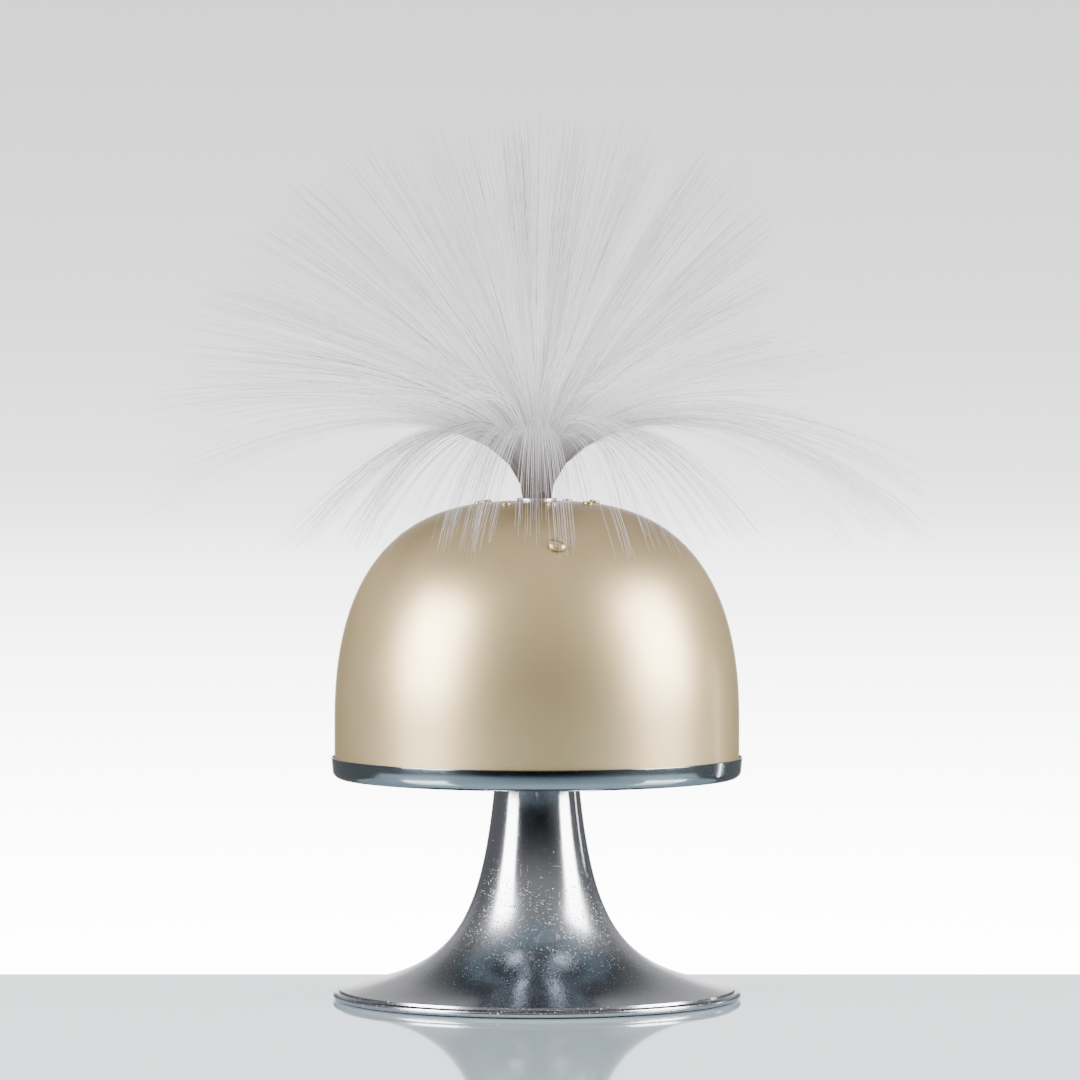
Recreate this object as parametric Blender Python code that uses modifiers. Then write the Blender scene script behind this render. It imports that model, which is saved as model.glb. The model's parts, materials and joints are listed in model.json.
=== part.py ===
"""Fibre-optic table lamp: chromed trumpet foot and tray, painted dome, spray of optical fibres.

Metres, +Z up. The origin is on the table, at the middle of the felt under the foot.
The front of the lamp looks along -Y. Run with: blender --background --python part.py
"""

import math
import random

import bmesh
import bpy
from mathutils import Matrix, Vector

# General clearances and roundness
TOUCH_GAP = 0.0003              # air between two pieces that touch
NUT_SEAT_GAP = 0.0006           # the same where a flat nut sits on a curved sheet
CUT_OVERRUN = 0.002             # how far a cutter reaches past what it cuts
MERGE_DISTANCE = 0.00001
BIG_SIDES = 30                  # a multiple of three puts a facet corner at each dome screw
MIDDLE_SIDES = 24
SMALL_SIDES = 12
FASTENER_SIDES = 8
NUT_SIDES = 6
SHARP_ANGLE = math.radians(35)
FULL_TURN = 2 * math.pi

# Foot: spun trumpet, its flare a hyperbola from the rim bead up to the neck
FOOT_RADIUS = 0.100
FOOT_HEIGHT = 0.108
FOOT_SHEET = 0.0012
NECK_RADIUS = 0.0205
FLARE_BEND = 0.0098             # smaller makes the flare turn out more sharply
FLARE_START_HEIGHT = 0.0050
GROOVE_SETBACK = 0.0032         # from the rim in to the groove above the bead
BEAD_RADIUS = 0.0020
FOOT_LIFT = 0.0004              # the bead hangs this far above the table
FLARE_STEPS = 9
BEAD_STEPS = 5
BEAD_START = math.radians(130)
BEAD_END = math.radians(-180)

# Underside: felt, cover plate and cord inlet
FELT_SETBACK = 0.0025           # of the felt's edge, inward of the bead
FELT_THICKNESS = 0.0022
COVER_THICKNESS = 0.0012
COVER_SIDE_GAP = 0.0006
COVER_SCREWS = 3
COVER_SCREW_CIRCLE = 0.040
INLET_WIDTH = 0.0090
INLET_HEIGHT = 0.0058
INLET_DEPTH = 0.0115
INLET_FLOOR = 0.0006
INLET_RUN_IN = 0.0120           # notch in cover and felt, inward of the bush
CORD_SLOT_WIDTH = 0.0060
CORD_SLOT_HEIGHT = 0.0032
CORD_SLOT_ROUND = 0.0012

# Ballast and the hollow rod that clamps foot and tray together
BALLAST_THICKNESS = 0.0110
BALLAST_LIFT = 0.0013           # above the cover plate
ROD_RADIUS = 0.0050
ROD_BORE = 0.0035
RECESS_RADIUS = 0.0125
RECESS_DEPTH = 0.0062
NUT_WIDTH = 0.0140              # across flats
NUT_THICKNESS = 0.0040
WASHER_RADIUS = 0.0105
WASHER_THICKNESS = 0.0012

# Tray: shallow pan about as wide as the foot, its wall standing a little outside the dome
TRAY_OVERHANG = 0.0002          # of the wall past the foot's rim, at its rounded corner
TRAY_FLARE = 0.0005             # of the wall from the corner up to its top
TRAY_HEIGHT = 0.0103
TRAY_SHEET = 0.0008
TRAY_CORNER = 0.0040
TRAY_CORNER_STEPS = 3
TRAY_VENT_SETBACK = 0.0137      # from the rounded corner in to a vent's edge
TRAY_VENT_RADIUS = 0.0045
TRAY_VENTS = 6

# Dome: a superellipse of revolution over a short straight wall, standing in the tray
DOME_SHEET = 0.0010
DOME_WALL_HEIGHT = 0.0257       # straight part, from the tray's underside
DOME_CURVE_HEIGHT = 0.1098
DOME_SIDE_POWER = 2.85
DOME_TOP_POWER = 2.4
DOME_STEPS = 10
VENT_CIRCLE = 0.029
VENT_COUNT = 8
VENT_COLLAR_RADIUS = 0.0025
VENT_COLLAR_HEIGHT = 0.0018
VENT_BORE = 0.0017
VENT_SIDES = 8
FRONT_VENT_ANGLE = math.radians(-90 + 14)
DOME_SCREW_SETBACK = 0.0291     # from the dome's side in to its screws
DOME_SCREWS = 3
FRONT_SCREW_ANGLE = math.radians(-90 + 8)
DOME_SCREW_HEAD = 0.0044
DOME_SCREW_HEAD_HEIGHT = 0.0026
DOME_SCREW_SHANK = 0.0020
DOME_NUT_WIDTH = 0.0070
DOME_NUT_THICKNESS = 0.0030
DOME_SCREW_TAIL = 0.0010        # past the nut

# Fibre bundle, its ferrule, and the socket that the ferrule stands in
BUNDLE_RADIUS = 0.0071
BUNDLE_RISE = 0.0020            # above the ferrule, before the fibres part
LAYER_GAP = 0.0003
CORE_RADIUS = 0.0036
MIDDLE_RADIUS = 0.0055
FERRULE_WALL = 0.0009
FERRULE_LENGTH = 0.0385
FERRULE_COLLAR = 0.0012
FERRULE_COLLAR_THICKNESS = 0.0010
SLEEVE_WALL = 0.0012
SLEEVE_LENGTH = 0.0300
SLEEVE_FLANGE = 0.0040
SLEEVE_FLANGE_THICKNESS = 0.0014
PLATE_SHEET = 0.0012
PLATE_INNER_WEB = 0.0110         # from the socket nut's corners out to the plate's windows
PLATE_OUTER_WEB = 0.0084         # from the windows out to the skirt
PLATE_WINDOWS = 6
SOCKET_NUT_WIDTH = 0.0260
SOCKET_NUT_THICKNESS = 0.0040

# Fibres
CORE_RINGS = 4
CORE_COLUMNS = 6                # in the innermost ring, and as many more in each ring outward
MIDDLE_COLUMNS = 30
MIDDLE_ROWS = 2
SKIRT_COLUMNS = 42
SKIRT_ROWS = 1
FIBRE_LENGTH = 0.177
FIBRE_EXTRA_LENGTH = 0.036      # more on the outermost fibres
FIBRE_NECK = 0.040              # length over which a fibre bends outward
FIBRE_SPREAD = math.radians(96)
FIBRE_DROOP = math.radians(38)
FIBRE_DROOP_POWER = 1.4
FIBRE_THICKNESS = 0.00042       # centre to corner of a fibre's three-sided section
FIBRE_TIP_SHARE = 0.7
LENGTH_JITTER_SHARE = 0.04
DROOP_JITTER_SHARE = 0.4
LEAN_JITTER = math.radians(6)
TURN_JITTER = math.radians(3)
FIBRE_SEED = 11
PATH_STEPS = 24
# Bends of a fibre, as shares of its length; every layer bends alike at the neck
CORE_STATION_SHARES = (0.08, 0.21, 1.0)
MIDDLE_STATION_SHARES = (0.08, 0.21, 0.55, 1.0)
SKIRT_STATION_SHARES = (0.08, 0.21, 0.38, 0.63, 1.0)

# Colour wheel, hung just under the ferrule
WHEEL_RUNNING_GAP = 0.0012      # from the wheel's cap to the ferrule
WHEEL_DOME_GAP = 0.0080
WHEEL_SHEET = 0.0012
WHEEL_RIM = 0.0030
WHEEL_SPOKE = 0.0030
WHEEL_INNER_RING = 0.0085
FILTER_SHEET = 0.0005
FILTER_LAP = 0.0012             # filter over the wheel's ring
FILTER_SPLIT = 0.0006           # between two filters
FILTERS = 4
FILTER_STEPS = 5
CAP_RADIUS = 0.0100
CAP_BOSS_RADIUS = 0.0045
CAP_FLANGE = 0.0010
CAP_HEIGHT = 0.0022
HUB_RADIUS = 0.0060
HUB_LENGTH = 0.0060
SHAFT_RADIUS = 0.0020
SHAFT_IN_GEARBOX = 0.0050
SHAFT_RISE = 0.0300             # from the deck to the wheel

# Inner frame
DECK_SHEET = 0.0012
PILLAR_CIRCLE = 0.066
PILLAR_RADIUS = 0.0035
PILLARS = 3
DECK_EDGE = 0.0080              # deck outside the pillar circle
DECK_SHAFT_HOLE = 0.0040
SCREW_SHANK = 0.0015
SCREW_HEAD = 0.0030
SCREW_HEAD_HEIGHT = 0.0020
SCREW_LENGTH = 0.0075
PAN_EDGE_SHARE = 0.45
PAN_CROWN_SHARE = 0.72
SLOT_WIDTH_SHARE = 0.26
SLOT_DEPTH_SHARE = 0.45

# Motor under the deck, behind the lamp
MOTOR_RADIUS = 0.0240
MOTOR_HEIGHT = 0.0180
GEARBOX_RADIUS = 0.0245
GEARBOX_HEIGHT = 0.0072
SHAFT_OFFSET = 0.0130           # from the motor's middle towards the lamp
EAR_THICKNESS = 0.0016
EAR_WIDTH = 0.0095
EAR_REACH = 0.0095              # of the ears past the gearbox

# Lamp holder and bulb
HOLDER_RADIUS = 0.0140
HOLDER_LENGTH = 0.0352
HOLDER_BOSS_RADIUS = 0.0090
HOLDER_BOSS_HEIGHT = 0.0040
HOLDER_LIP = 0.0030             # holder above the bulb's cap
HOLDER_WEB = 0.0028             # between the rod's end and the bulb's cap
HOLDER_FLUE_RADIUS = 0.0025
LEAD_ENTRY_DROP = 0.0120        # of the lead's entry, under the holder's top
LEAD_SOCKET_DEPTH = 0.0020
BULB_RADIUS = 0.0195
BULB_GLASS = 0.0009
# Outline of the glass, as shares of the bulb's radius and of the glass's rise
GLASS_SHARES = (
    (0.0, 1.0), (0.62, 0.985), (0.93, 0.93), (1.0, 0.84), (0.97, 0.70), (0.80, 0.42), (0.55, 0.18),
)
BULB_NECK = 0.0067
BULB_TO_WHEEL = 0.0090
BULB_CLEARANCE = 0.0035         # bulb to the deck's edge
CAP_THREAD_RADIUS = 0.0070
CAP_THREAD_LENGTH = 0.0230
CAP_TIP_RADIUS = 0.0025
CAP_TIP_HEIGHT = 0.0015
CAP_SHOULDER_HEIGHT = 0.0035

# Lead from holder to motor
LEAD_RADIUS = 0.0016
LEAD_START_PULL = 0.0450        # how far it runs straight out of the holder, and
LEAD_END_PULL = 0.0150          # straight into the motor
LEAD_POINTS = 13

# Heights, worked out from the table up
COVER_FLOOR = FELT_THICKNESS + TOUCH_GAP
COVER_TOP = COVER_FLOOR + COVER_THICKNESS
BALLAST_FLOOR = COVER_TOP + BALLAST_LIFT
BALLAST_TOP = BALLAST_FLOOR + BALLAST_THICKNESS
TRAY_FLOOR = FOOT_HEIGHT + TOUCH_GAP
TRAY_FLOOR_TOP = TRAY_FLOOR + TRAY_SHEET
TRAY_WASHER_FLOOR = TRAY_FLOOR_TOP + TOUCH_GAP
TRAY_NUT_FLOOR = TRAY_WASHER_FLOOR + WASHER_THICKNESS + TOUCH_GAP
HOLDER_FLOOR = TRAY_NUT_FLOOR + NUT_THICKNESS + TOUCH_GAP
HOLDER_TOP = HOLDER_FLOOR + HOLDER_LENGTH
CAP_TOP = HOLDER_TOP - HOLDER_LIP
CAP_FLOOR = CAP_TOP - CAP_THREAD_LENGTH
GLASS_FLOOR = CAP_TOP + TOUCH_GAP
HOLDER_WEB_TOP = CAP_FLOOR - TOUCH_GAP
HOLDER_WEB_FLOOR = HOLDER_WEB_TOP - HOLDER_WEB
ROD_TOP = HOLDER_WEB_FLOOR - TOUCH_GAP
RECESS_TOP = BALLAST_FLOOR + RECESS_DEPTH
ROD_WASHER_FLOOR = RECESS_TOP - TOUCH_GAP - WASHER_THICKNESS
ROD_NUT_FLOOR = ROD_WASHER_FLOOR - TOUCH_GAP - NUT_THICKNESS
DOME_CURVE_FLOOR = TRAY_FLOOR + DOME_WALL_HEIGHT
DOME_TOP = DOME_CURVE_FLOOR + DOME_CURVE_HEIGHT
FERRULE_TOP = DOME_TOP + TOUCH_GAP
FERRULE_FLOOR = FERRULE_TOP - FERRULE_LENGTH
BUNDLE_TOP = FERRULE_TOP + FERRULE_COLLAR_THICKNESS + BUNDLE_RISE
WHEEL_CAP_FLOOR = FERRULE_FLOOR - WHEEL_RUNNING_GAP - CAP_HEIGHT
FILTER_FLOOR = WHEEL_CAP_FLOOR - TOUCH_GAP - FILTER_SHEET
WHEEL_FLOOR = FILTER_FLOOR - TOUCH_GAP - WHEEL_SHEET
HUB_FLOOR = WHEEL_FLOOR - TOUCH_GAP - HUB_LENGTH
DECK_TOP = WHEEL_FLOOR - SHAFT_RISE
DECK_FLOOR = DECK_TOP - DECK_SHEET
PILLAR_FLOOR = TRAY_FLOOR_TOP + TOUCH_GAP
PILLAR_TOP = DECK_FLOOR - TOUCH_GAP
GEARBOX_TOP = DECK_FLOOR - TOUCH_GAP
GEARBOX_FLOOR = GEARBOX_TOP - GEARBOX_HEIGHT
MOTOR_TOP = GEARBOX_FLOOR - TOUCH_GAP
MOTOR_FLOOR = MOTOR_TOP - MOTOR_HEIGHT
BULB_TOP = WHEEL_FLOOR - BULB_TO_WHEEL

# Radii, worked out from the foot in, and from the bundle and the rod out
FELT_RADIUS = FOOT_RADIUS - 2 * BEAD_RADIUS - FELT_SETBACK
TRAY_FOOT_RADIUS = FOOT_RADIUS + TRAY_OVERHANG
TRAY_RADIUS = TRAY_FOOT_RADIUS + TRAY_FLARE
TRAY_VENT_CIRCLE = TRAY_FOOT_RADIUS - TRAY_CORNER - TRAY_VENT_SETBACK - TRAY_VENT_RADIUS
DOME_RADIUS = TRAY_FOOT_RADIUS - TRAY_SHEET - TOUCH_GAP
DOME_SCREW_CIRCLE = DOME_RADIUS - DOME_SCREW_SETBACK
FERRULE_BORE = BUNDLE_RADIUS + TOUCH_GAP
FERRULE_RADIUS = FERRULE_BORE + FERRULE_WALL
SLEEVE_BORE = FERRULE_RADIUS + TOUCH_GAP
SLEEVE_RADIUS = SLEEVE_BORE + SLEEVE_WALL
SOCKET_HOLE = SLEEVE_RADIUS + TOUCH_GAP
ROD_HOLE = ROD_RADIUS + TOUCH_GAP
SCREW_HOLE = SCREW_SHANK + TOUCH_GAP
BULB_HOLE = BULB_RADIUS + BULB_CLEARANCE
MOTOR_DISTANCE = BULB_HOLE + MOTOR_RADIUS
SHAFT_DISTANCE = MOTOR_DISTANCE - SHAFT_OFFSET
DECK_RADIUS = PILLAR_CIRCLE + DECK_EDGE
COVER_RADIUS = FOOT_RADIUS - 2 * BEAD_RADIUS - COVER_SIDE_GAP

# Colour, roughness and metallic value of each finish
FINISHES = {
    "chrome": ((0.62, 0.64, 0.68), 0.14, 1.0),
    "gold_paint": ((0.62, 0.53, 0.40), 0.34, 0.75),
    "steel": ((0.55, 0.55, 0.56), 0.38, 1.0),
    "brass": ((0.76, 0.60, 0.30), 0.30, 1.0),
    "iron": ((0.10, 0.10, 0.11), 0.75, 0.6),
    "felt": ((0.04, 0.07, 0.05), 0.95, 0.0),
    "bakelite": ((0.06, 0.04, 0.03), 0.35, 0.0),
    "aluminium": ((0.78, 0.79, 0.80), 0.28, 1.0),
    "fibre": ((0.88, 0.87, 0.88), 0.12, 0.0),
    "glass": ((0.90, 0.92, 0.94), 0.10, 0.0),
    "lead": ((0.80, 0.79, 0.75), 0.50, 0.0),
    "red": ((0.72, 0.05, 0.05), 0.20, 0.0),
    "green": ((0.05, 0.50, 0.15), 0.20, 0.0),
    "blue": ((0.05, 0.12, 0.65), 0.20, 0.0),
    "amber": ((0.90, 0.50, 0.05), 0.20, 0.0),
}
FILTER_FINISHES = ("red", "green", "blue", "amber")


# Scene and collections

def clear_scene():
    for obj in list(bpy.data.objects):
        bpy.data.objects.remove(obj)


def new_collection(name):
    collection = bpy.data.collections.new(name)
    bpy.context.scene.collection.children.link(collection)
    return collection


def new_carrier(name, location, above=None):
    """An empty on a joint's axis, which carries the pieces that move together."""
    carrier = bpy.data.objects.new(name, None)
    carrier.location = location
    carrier.empty_display_size = FOOT_RADIUS
    PARTS.objects.link(carrier)
    hang_on(carrier, above)
    bpy.context.view_layer.update()
    return carrier


def hang_on(obj, carrier):
    """Parent an object to a carrier, with its own place still given in the world."""
    if carrier is not None:
        obj.parent = carrier
        obj.matrix_parent_inverse = carrier.matrix_world.inverted()


def finish_material(name, finish):
    colour, roughness, metallic = FINISHES[finish]
    material = bpy.data.materials.new(name)
    material.use_nodes = True
    shader = material.node_tree.nodes["Principled BSDF"]
    shader.inputs["Base Color"].default_value = (*colour, 1)
    shader.inputs["Roughness"].default_value = roughness
    shader.inputs["Metallic"].default_value = metallic
    return material


def add_piece(name, mesh, finish, carrier, place=None):
    """Link a mesh as a piece, in its own material, with its place given in the world."""
    piece = bpy.data.objects.new(name, mesh)
    PARTS.objects.link(piece)
    hang_on(piece, carrier)
    if place is not None:
        piece.matrix_basis = place
    piece.data.materials.append(finish_material(name, finish))
    return piece


# Shared shapes

def at(x, y, z):
    return Matrix.Translation((x, y, z))


def around(angle):
    return Matrix.Rotation(angle, 4, "Z")


def ring_places(count, radius, height, start=0.0):
    return [around(start + FULL_TURN * i / count) @ at(radius, 0, height) for i in range(count)]


def bake(piece):
    """Turn a piece's modifiers into mesh, smooth between its sharp edges."""
    graph = bpy.context.evaluated_depsgraph_get()
    mesh = bpy.data.meshes.new_from_object(piece.evaluated_get(graph))
    piece.modifiers.clear()
    piece.data = mesh
    mesh.shade_smooth()
    mesh.set_sharp_from_angle(angle=SHARP_ANGLE)


def turned(name, outline, finish, carrier, place=None, closed=False, sides=SMALL_SIDES, wall=0.0):
    """Turn an outline of (radius, height) points round Z; wall thickens an open outline inward."""
    mesh = bpy.data.meshes.new(name)
    links = [(i, i + 1) for i in range(len(outline) - 1)]
    if closed:
        links.append((len(outline) - 1, 0))
    mesh.from_pydata([(radius, 0, height) for radius, height in outline], links, [])
    piece = add_piece(name, mesh, finish, carrier, place)
    screw = piece.modifiers.new("Turn", "SCREW")
    screw.steps = sides
    screw.render_steps = sides
    screw.use_merge_vertices = True
    screw.merge_threshold = MERGE_DISTANCE
    if wall:
        shell = piece.modifiers.new("Sheet", "SOLIDIFY")
        shell.thickness = wall
        shell.offset = -1
        shell.use_even_offset = True
    bake(piece)
    return piece


def tube(name, bore, radius, low, high, finish, carrier, place=None, sides=SMALL_SIDES):
    outline = [(bore, high), (radius, high), (radius, low), (bore, low)]
    return turned(name, outline, finish, carrier, place, closed=True, sides=sides)


def disc(name, radius, low, high, finish, carrier, place=None, sides=SMALL_SIDES):
    outline = [(0, high), (radius, high), (radius, low), (0, low)]
    return turned(name, outline, finish, carrier, place, sides=sides)


def mesh_from(name, bm):
    mesh = bpy.data.meshes.new(name)
    bm.to_mesh(mesh)
    bm.free()
    return mesh


def cylinders(name, places, radius, low, high, sides, top_radius=None):
    """One mesh of like cylinders, each along the Z of its own place."""
    bm = bmesh.new()
    for place in places:
        bmesh.ops.create_cone(
            bm, cap_ends=True, segments=sides, radius1=radius,
            radius2=radius if top_radius is None else top_radius, depth=high - low,
            matrix=place @ at(0, 0, (low + high) / 2))
    return mesh_from(name, bm)


def block(name, low, high):
    """A box mesh between two corners."""
    low, high = Vector(low), Vector(high)
    bm = bmesh.new()
    size = Matrix.Diagonal((*(high - low), 1))
    bmesh.ops.create_cube(bm, size=1, matrix=Matrix.Translation((low + high) / 2) @ size)
    return mesh_from(name, bm)


def combine(piece, mesh, operation, place=None):
    """Cut or join a mesh into a piece with a Boolean, keeping the tool among the cutters."""
    tool = bpy.data.objects.new(mesh.name, mesh)
    CUTTERS.objects.link(tool)
    if place is not None:
        tool.matrix_basis = place
    tool.hide_render = True
    tool.display_type = "WIRE"
    boolean = piece.modifiers.new(mesh.name, "BOOLEAN")
    boolean.object = tool
    boolean.operation = operation
    return tool


def drill(piece, places, radius, low, high, sides=FASTENER_SIDES, top_radius=None):
    mesh = cylinders(piece.name + "_drill", places, radius, low, high, sides, top_radius)
    combine(piece, mesh, "DIFFERENCE")


def hex_nut(name, width, thickness, hole, finish, carrier, place, sides=SMALL_SIDES):
    """Six-sided nut on its place's Z, bored for its screw."""
    corner_radius = width / math.sqrt(3)
    mesh = cylinders(name, [Matrix()], corner_radius, 0, thickness, NUT_SIDES)
    nut = add_piece(name, mesh, finish, carrier, place)
    drill(nut, [place], hole, -CUT_OVERRUN, thickness + CUT_OVERRUN, sides)
    return nut


def slotted_screw(name, head, head_height, shank, length, finish, carrier, place,
                  sides=FASTENER_SIDES):
    """Round-headed screw: its seat at the place's origin, its shank down the place's -Z."""
    outline = [
        (0, head_height),
        (head * PAN_CROWN_SHARE, head_height * (1 + PAN_CROWN_SHARE) / 2),
        (head, head_height * PAN_EDGE_SHARE),
        (head, 0),
        (shank, 0),
        (shank, -length),
        (0, -length),
    ]
    screw = turned(name, outline, finish, carrier, place, sides=sides)
    half_slot = head * SLOT_WIDTH_SHARE / 2
    slot = block(name + "_slot", (-head - CUT_OVERRUN, -half_slot, head_height * (1 - SLOT_DEPTH_SHARE)),
                 (head + CUT_OVERRUN, half_slot, head_height + CUT_OVERRUN))
    combine(screw, slot, "DIFFERENCE", place)
    return screw


# Outlines that several pieces follow

def flare_terms():
    """The flare is radius = reach + swell / (height + FLARE_BEND), set by its two ends."""
    low = 1 / (FLARE_START_HEIGHT + FLARE_BEND)
    high = 1 / (FOOT_HEIGHT + FLARE_BEND)
    start = FOOT_RADIUS - GROOVE_SETBACK
    swell = (start - NECK_RADIUS) / (low - high)
    return NECK_RADIUS - swell * high, swell


def flare_radius(height):
    reach, swell = flare_terms()
    return reach + swell / (height + FLARE_BEND)


def flare_height(radius):
    reach, swell = flare_terms()
    return swell / (radius - reach) - FLARE_BEND


def flare_inside(height):
    """Point of the sheet's inner face, square under the outer face at a height."""
    swell = flare_terms()[1]
    slope = -swell / (height + FLARE_BEND) ** 2
    along = math.hypot(1, slope)
    return flare_radius(height) - FOOT_SHEET / along, height + FOOT_SHEET * slope / along


def flare_heights():
    """Heights from the neck's top to the flare's start, closer together where it turns out."""
    top = FOOT_HEIGHT + FLARE_BEND
    ratio = (FLARE_START_HEIGHT + FLARE_BEND) / top
    return [top * ratio ** (i / FLARE_STEPS) - FLARE_BEND for i in range(FLARE_STEPS + 1)]


def inner_flare_radius(height):
    """Radius of the foot's inner face at a height, found by halving."""
    low, high = FLARE_START_HEIGHT, FOOT_HEIGHT
    for _ in range(40):
        middle = (low + high) / 2
        if flare_inside(middle)[1] < height:
            low = middle
        else:
            high = middle
    return flare_inside(low)[0]


def dome_angle(radius):
    """The superellipse's angle from the top, at a radius."""
    return math.asin((radius / DOME_RADIUS) ** (DOME_SIDE_POWER / 2))


def dome_point(angle, depth=0.0):
    """(radius, height) on the dome's outer face, or at a depth square under it."""
    radius = DOME_RADIUS * math.sin(angle) ** (2 / DOME_SIDE_POWER)
    rise = max(math.cos(angle), 0) ** (2 / DOME_TOP_POWER)
    out, up = dome_normal(angle)
    return radius - depth * out, DOME_CURVE_FLOOR + DOME_CURVE_HEIGHT * rise - depth * up


def dome_bends():
    """Angles of the dome's facets, from its top hole to its straight wall."""
    first = dome_angle(SOCKET_HOLE)
    return [first + (math.pi / 2 - first) * i / DOME_STEPS for i in range(DOME_STEPS + 1)]


def plate_bends():
    """The three of the dome's bends that the socket plate's skirt lies under, about the screws."""
    bends = dome_bends()
    screws = dome_angle(DOME_SCREW_CIRCLE)
    nearest = min(range(1, DOME_STEPS), key=lambda i: abs(bends[i] - screws))
    return bends[nearest - 1:nearest + 2]


def dome_normal(angle):
    across = math.sin(angle) ** (2 - 2 / DOME_SIDE_POWER) * DOME_SIDE_POWER / DOME_RADIUS
    up = math.cos(angle) ** (2 - 2 / DOME_TOP_POWER) * DOME_TOP_POWER / DOME_CURVE_HEIGHT
    length = math.hypot(across, up)
    return across / length, up / length


def dome_places(count, radius, start):
    """Places on the dome's outer face, their Z square to it."""
    angle = dome_angle(radius)
    out, up = dome_normal(angle)
    face_radius, face_height = dome_point(angle)
    tilt = Matrix.Rotation(math.atan2(out, up), 4, "Y")
    turns = [start + FULL_TURN * i / count for i in range(count)]
    return [around(turn) @ at(face_radius, 0, face_height) @ tilt for turn in turns]


def inner_dome_radius(height):
    """Radius of the dome's inner face at a height in its curved part."""
    rise = (height - DOME_CURVE_FLOOR) / DOME_CURVE_HEIGHT
    across = (1 - rise ** DOME_TOP_POWER) ** (1 / DOME_SIDE_POWER)
    return DOME_RADIUS * across - DOME_SHEET


# Foot and what it holds

def make_foot():
    seat_floor = FOOT_HEIGHT - FOOT_SHEET
    heights = flare_heights()
    outline = [(ROD_HOLE, FOOT_HEIGHT)]
    outline += [(flare_radius(height), height) for height in heights]
    for i in range(BEAD_STEPS + 1):
        angle = BEAD_START + (BEAD_END - BEAD_START) * i / BEAD_STEPS
        outline.append((FOOT_RADIUS - BEAD_RADIUS + BEAD_RADIUS * math.cos(angle),
                        FOOT_LIFT + BEAD_RADIUS + BEAD_RADIUS * math.sin(angle)))
    outline.append(flare_inside(flare_height(FOOT_RADIUS - 2 * BEAD_RADIUS)))
    outline += [flare_inside(height) for height in reversed(heights[1:-1])]
    outline.append((flare_radius(seat_floor) - FOOT_SHEET, seat_floor))
    outline.append((ROD_HOLE, seat_floor))
    foot = turned("foot", outline, "chrome", None, around(FRONT_SCREW_ANGLE), closed=True,
                  sides=BIG_SIDES)
    notch = inlet_notch("foot_inlet_notch", INLET_DEPTH, INLET_FLOOR + INLET_HEIGHT + TOUCH_GAP)
    combine(foot, notch, "DIFFERENCE")


def inlet_notch(name, depth, top):
    """Cutter for the cord inlet at the back, from the rim inward."""
    half = INLET_WIDTH / 2 + TOUCH_GAP
    return block(name, (-half, FOOT_RADIUS - depth - TOUCH_GAP, -CUT_OVERRUN),
                 (half, FOOT_RADIUS + CUT_OVERRUN, top))


def make_cord_inlet_bush():
    half = INLET_WIDTH / 2
    top = INLET_FLOOR + INLET_HEIGHT
    mesh = block("cord_inlet_bush", (-half, FOOT_RADIUS - INLET_DEPTH, INLET_FLOOR),
                 (half, FOOT_RADIUS, top))
    bush = add_piece("cord_inlet_bush", mesh, "bakelite", None)
    middle = (INLET_FLOOR + top) / 2
    slot = block("cord_slot",
                 (-CORD_SLOT_WIDTH / 2, FOOT_RADIUS - INLET_DEPTH - CUT_OVERRUN,
                  middle - CORD_SLOT_HEIGHT / 2),
                 (CORD_SLOT_WIDTH / 2, FOOT_RADIUS + CUT_OVERRUN, middle + CORD_SLOT_HEIGHT / 2))
    tool = combine(bush, slot, "DIFFERENCE")
    rounding = tool.modifiers.new("Rounding", "BEVEL")
    rounding.width = CORD_SLOT_ROUND
    rounding.segments = 2


def make_underside():
    notch_depth = INLET_DEPTH + INLET_RUN_IN
    screw_places = ring_places(COVER_SCREWS, COVER_SCREW_CIRCLE, 0, FRONT_SCREW_ANGLE)

    felt = disc("felt_pad", FELT_RADIUS, 0, FELT_THICKNESS, "felt", None, sides=BIG_SIDES)
    combine(felt, inlet_notch("felt_notch", notch_depth, FELT_THICKNESS + CUT_OVERRUN), "DIFFERENCE")

    cover = disc("base_cover", COVER_RADIUS, COVER_FLOOR, COVER_TOP, "steel", None, sides=BIG_SIDES)
    combine(cover, inlet_notch("cover_notch", notch_depth, COVER_TOP + CUT_OVERRUN), "DIFFERENCE")
    sink = SCREW_HEAD - SCREW_SHANK
    drill(cover, screw_places, SCREW_HEAD + TOUCH_GAP + CUT_OVERRUN, COVER_FLOOR - CUT_OVERRUN,
          COVER_FLOOR + sink, top_radius=SCREW_HOLE)
    drill(cover, screw_places, SCREW_HOLE, COVER_FLOOR - CUT_OVERRUN, COVER_TOP + CUT_OVERRUN)

    # Countersunk, heads flush with the cover's underside
    outline = [
        (0, COVER_FLOOR + SCREW_LENGTH),
        (SCREW_SHANK, COVER_FLOOR + SCREW_LENGTH),
        (SCREW_SHANK, COVER_FLOOR + sink),
        (SCREW_HEAD, COVER_FLOOR),
        (0, COVER_FLOOR),
    ]
    for i, place in enumerate(screw_places, 1):
        turned(f"cover_screw_{i}", outline, "steel", None, place, sides=FASTENER_SIDES)
    return screw_places


def make_ballast(screw_places):
    radius = inner_flare_radius(BALLAST_TOP) - TOUCH_GAP
    outline = [
        (ROD_HOLE, BALLAST_TOP),
        (radius, BALLAST_TOP),
        (radius, BALLAST_FLOOR),
        (RECESS_RADIUS, BALLAST_FLOOR),
        (RECESS_RADIUS, RECESS_TOP),
        (ROD_HOLE, RECESS_TOP),
    ]
    ballast = turned("ballast_disc", outline, "iron", None, around(FRONT_SCREW_ANGLE), closed=True,
                     sides=BIG_SIDES // 2)
    drill(ballast, screw_places, SCREW_HOLE, BALLAST_FLOOR - CUT_OVERRUN,
          COVER_FLOOR + SCREW_LENGTH + TOUCH_GAP)


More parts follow.
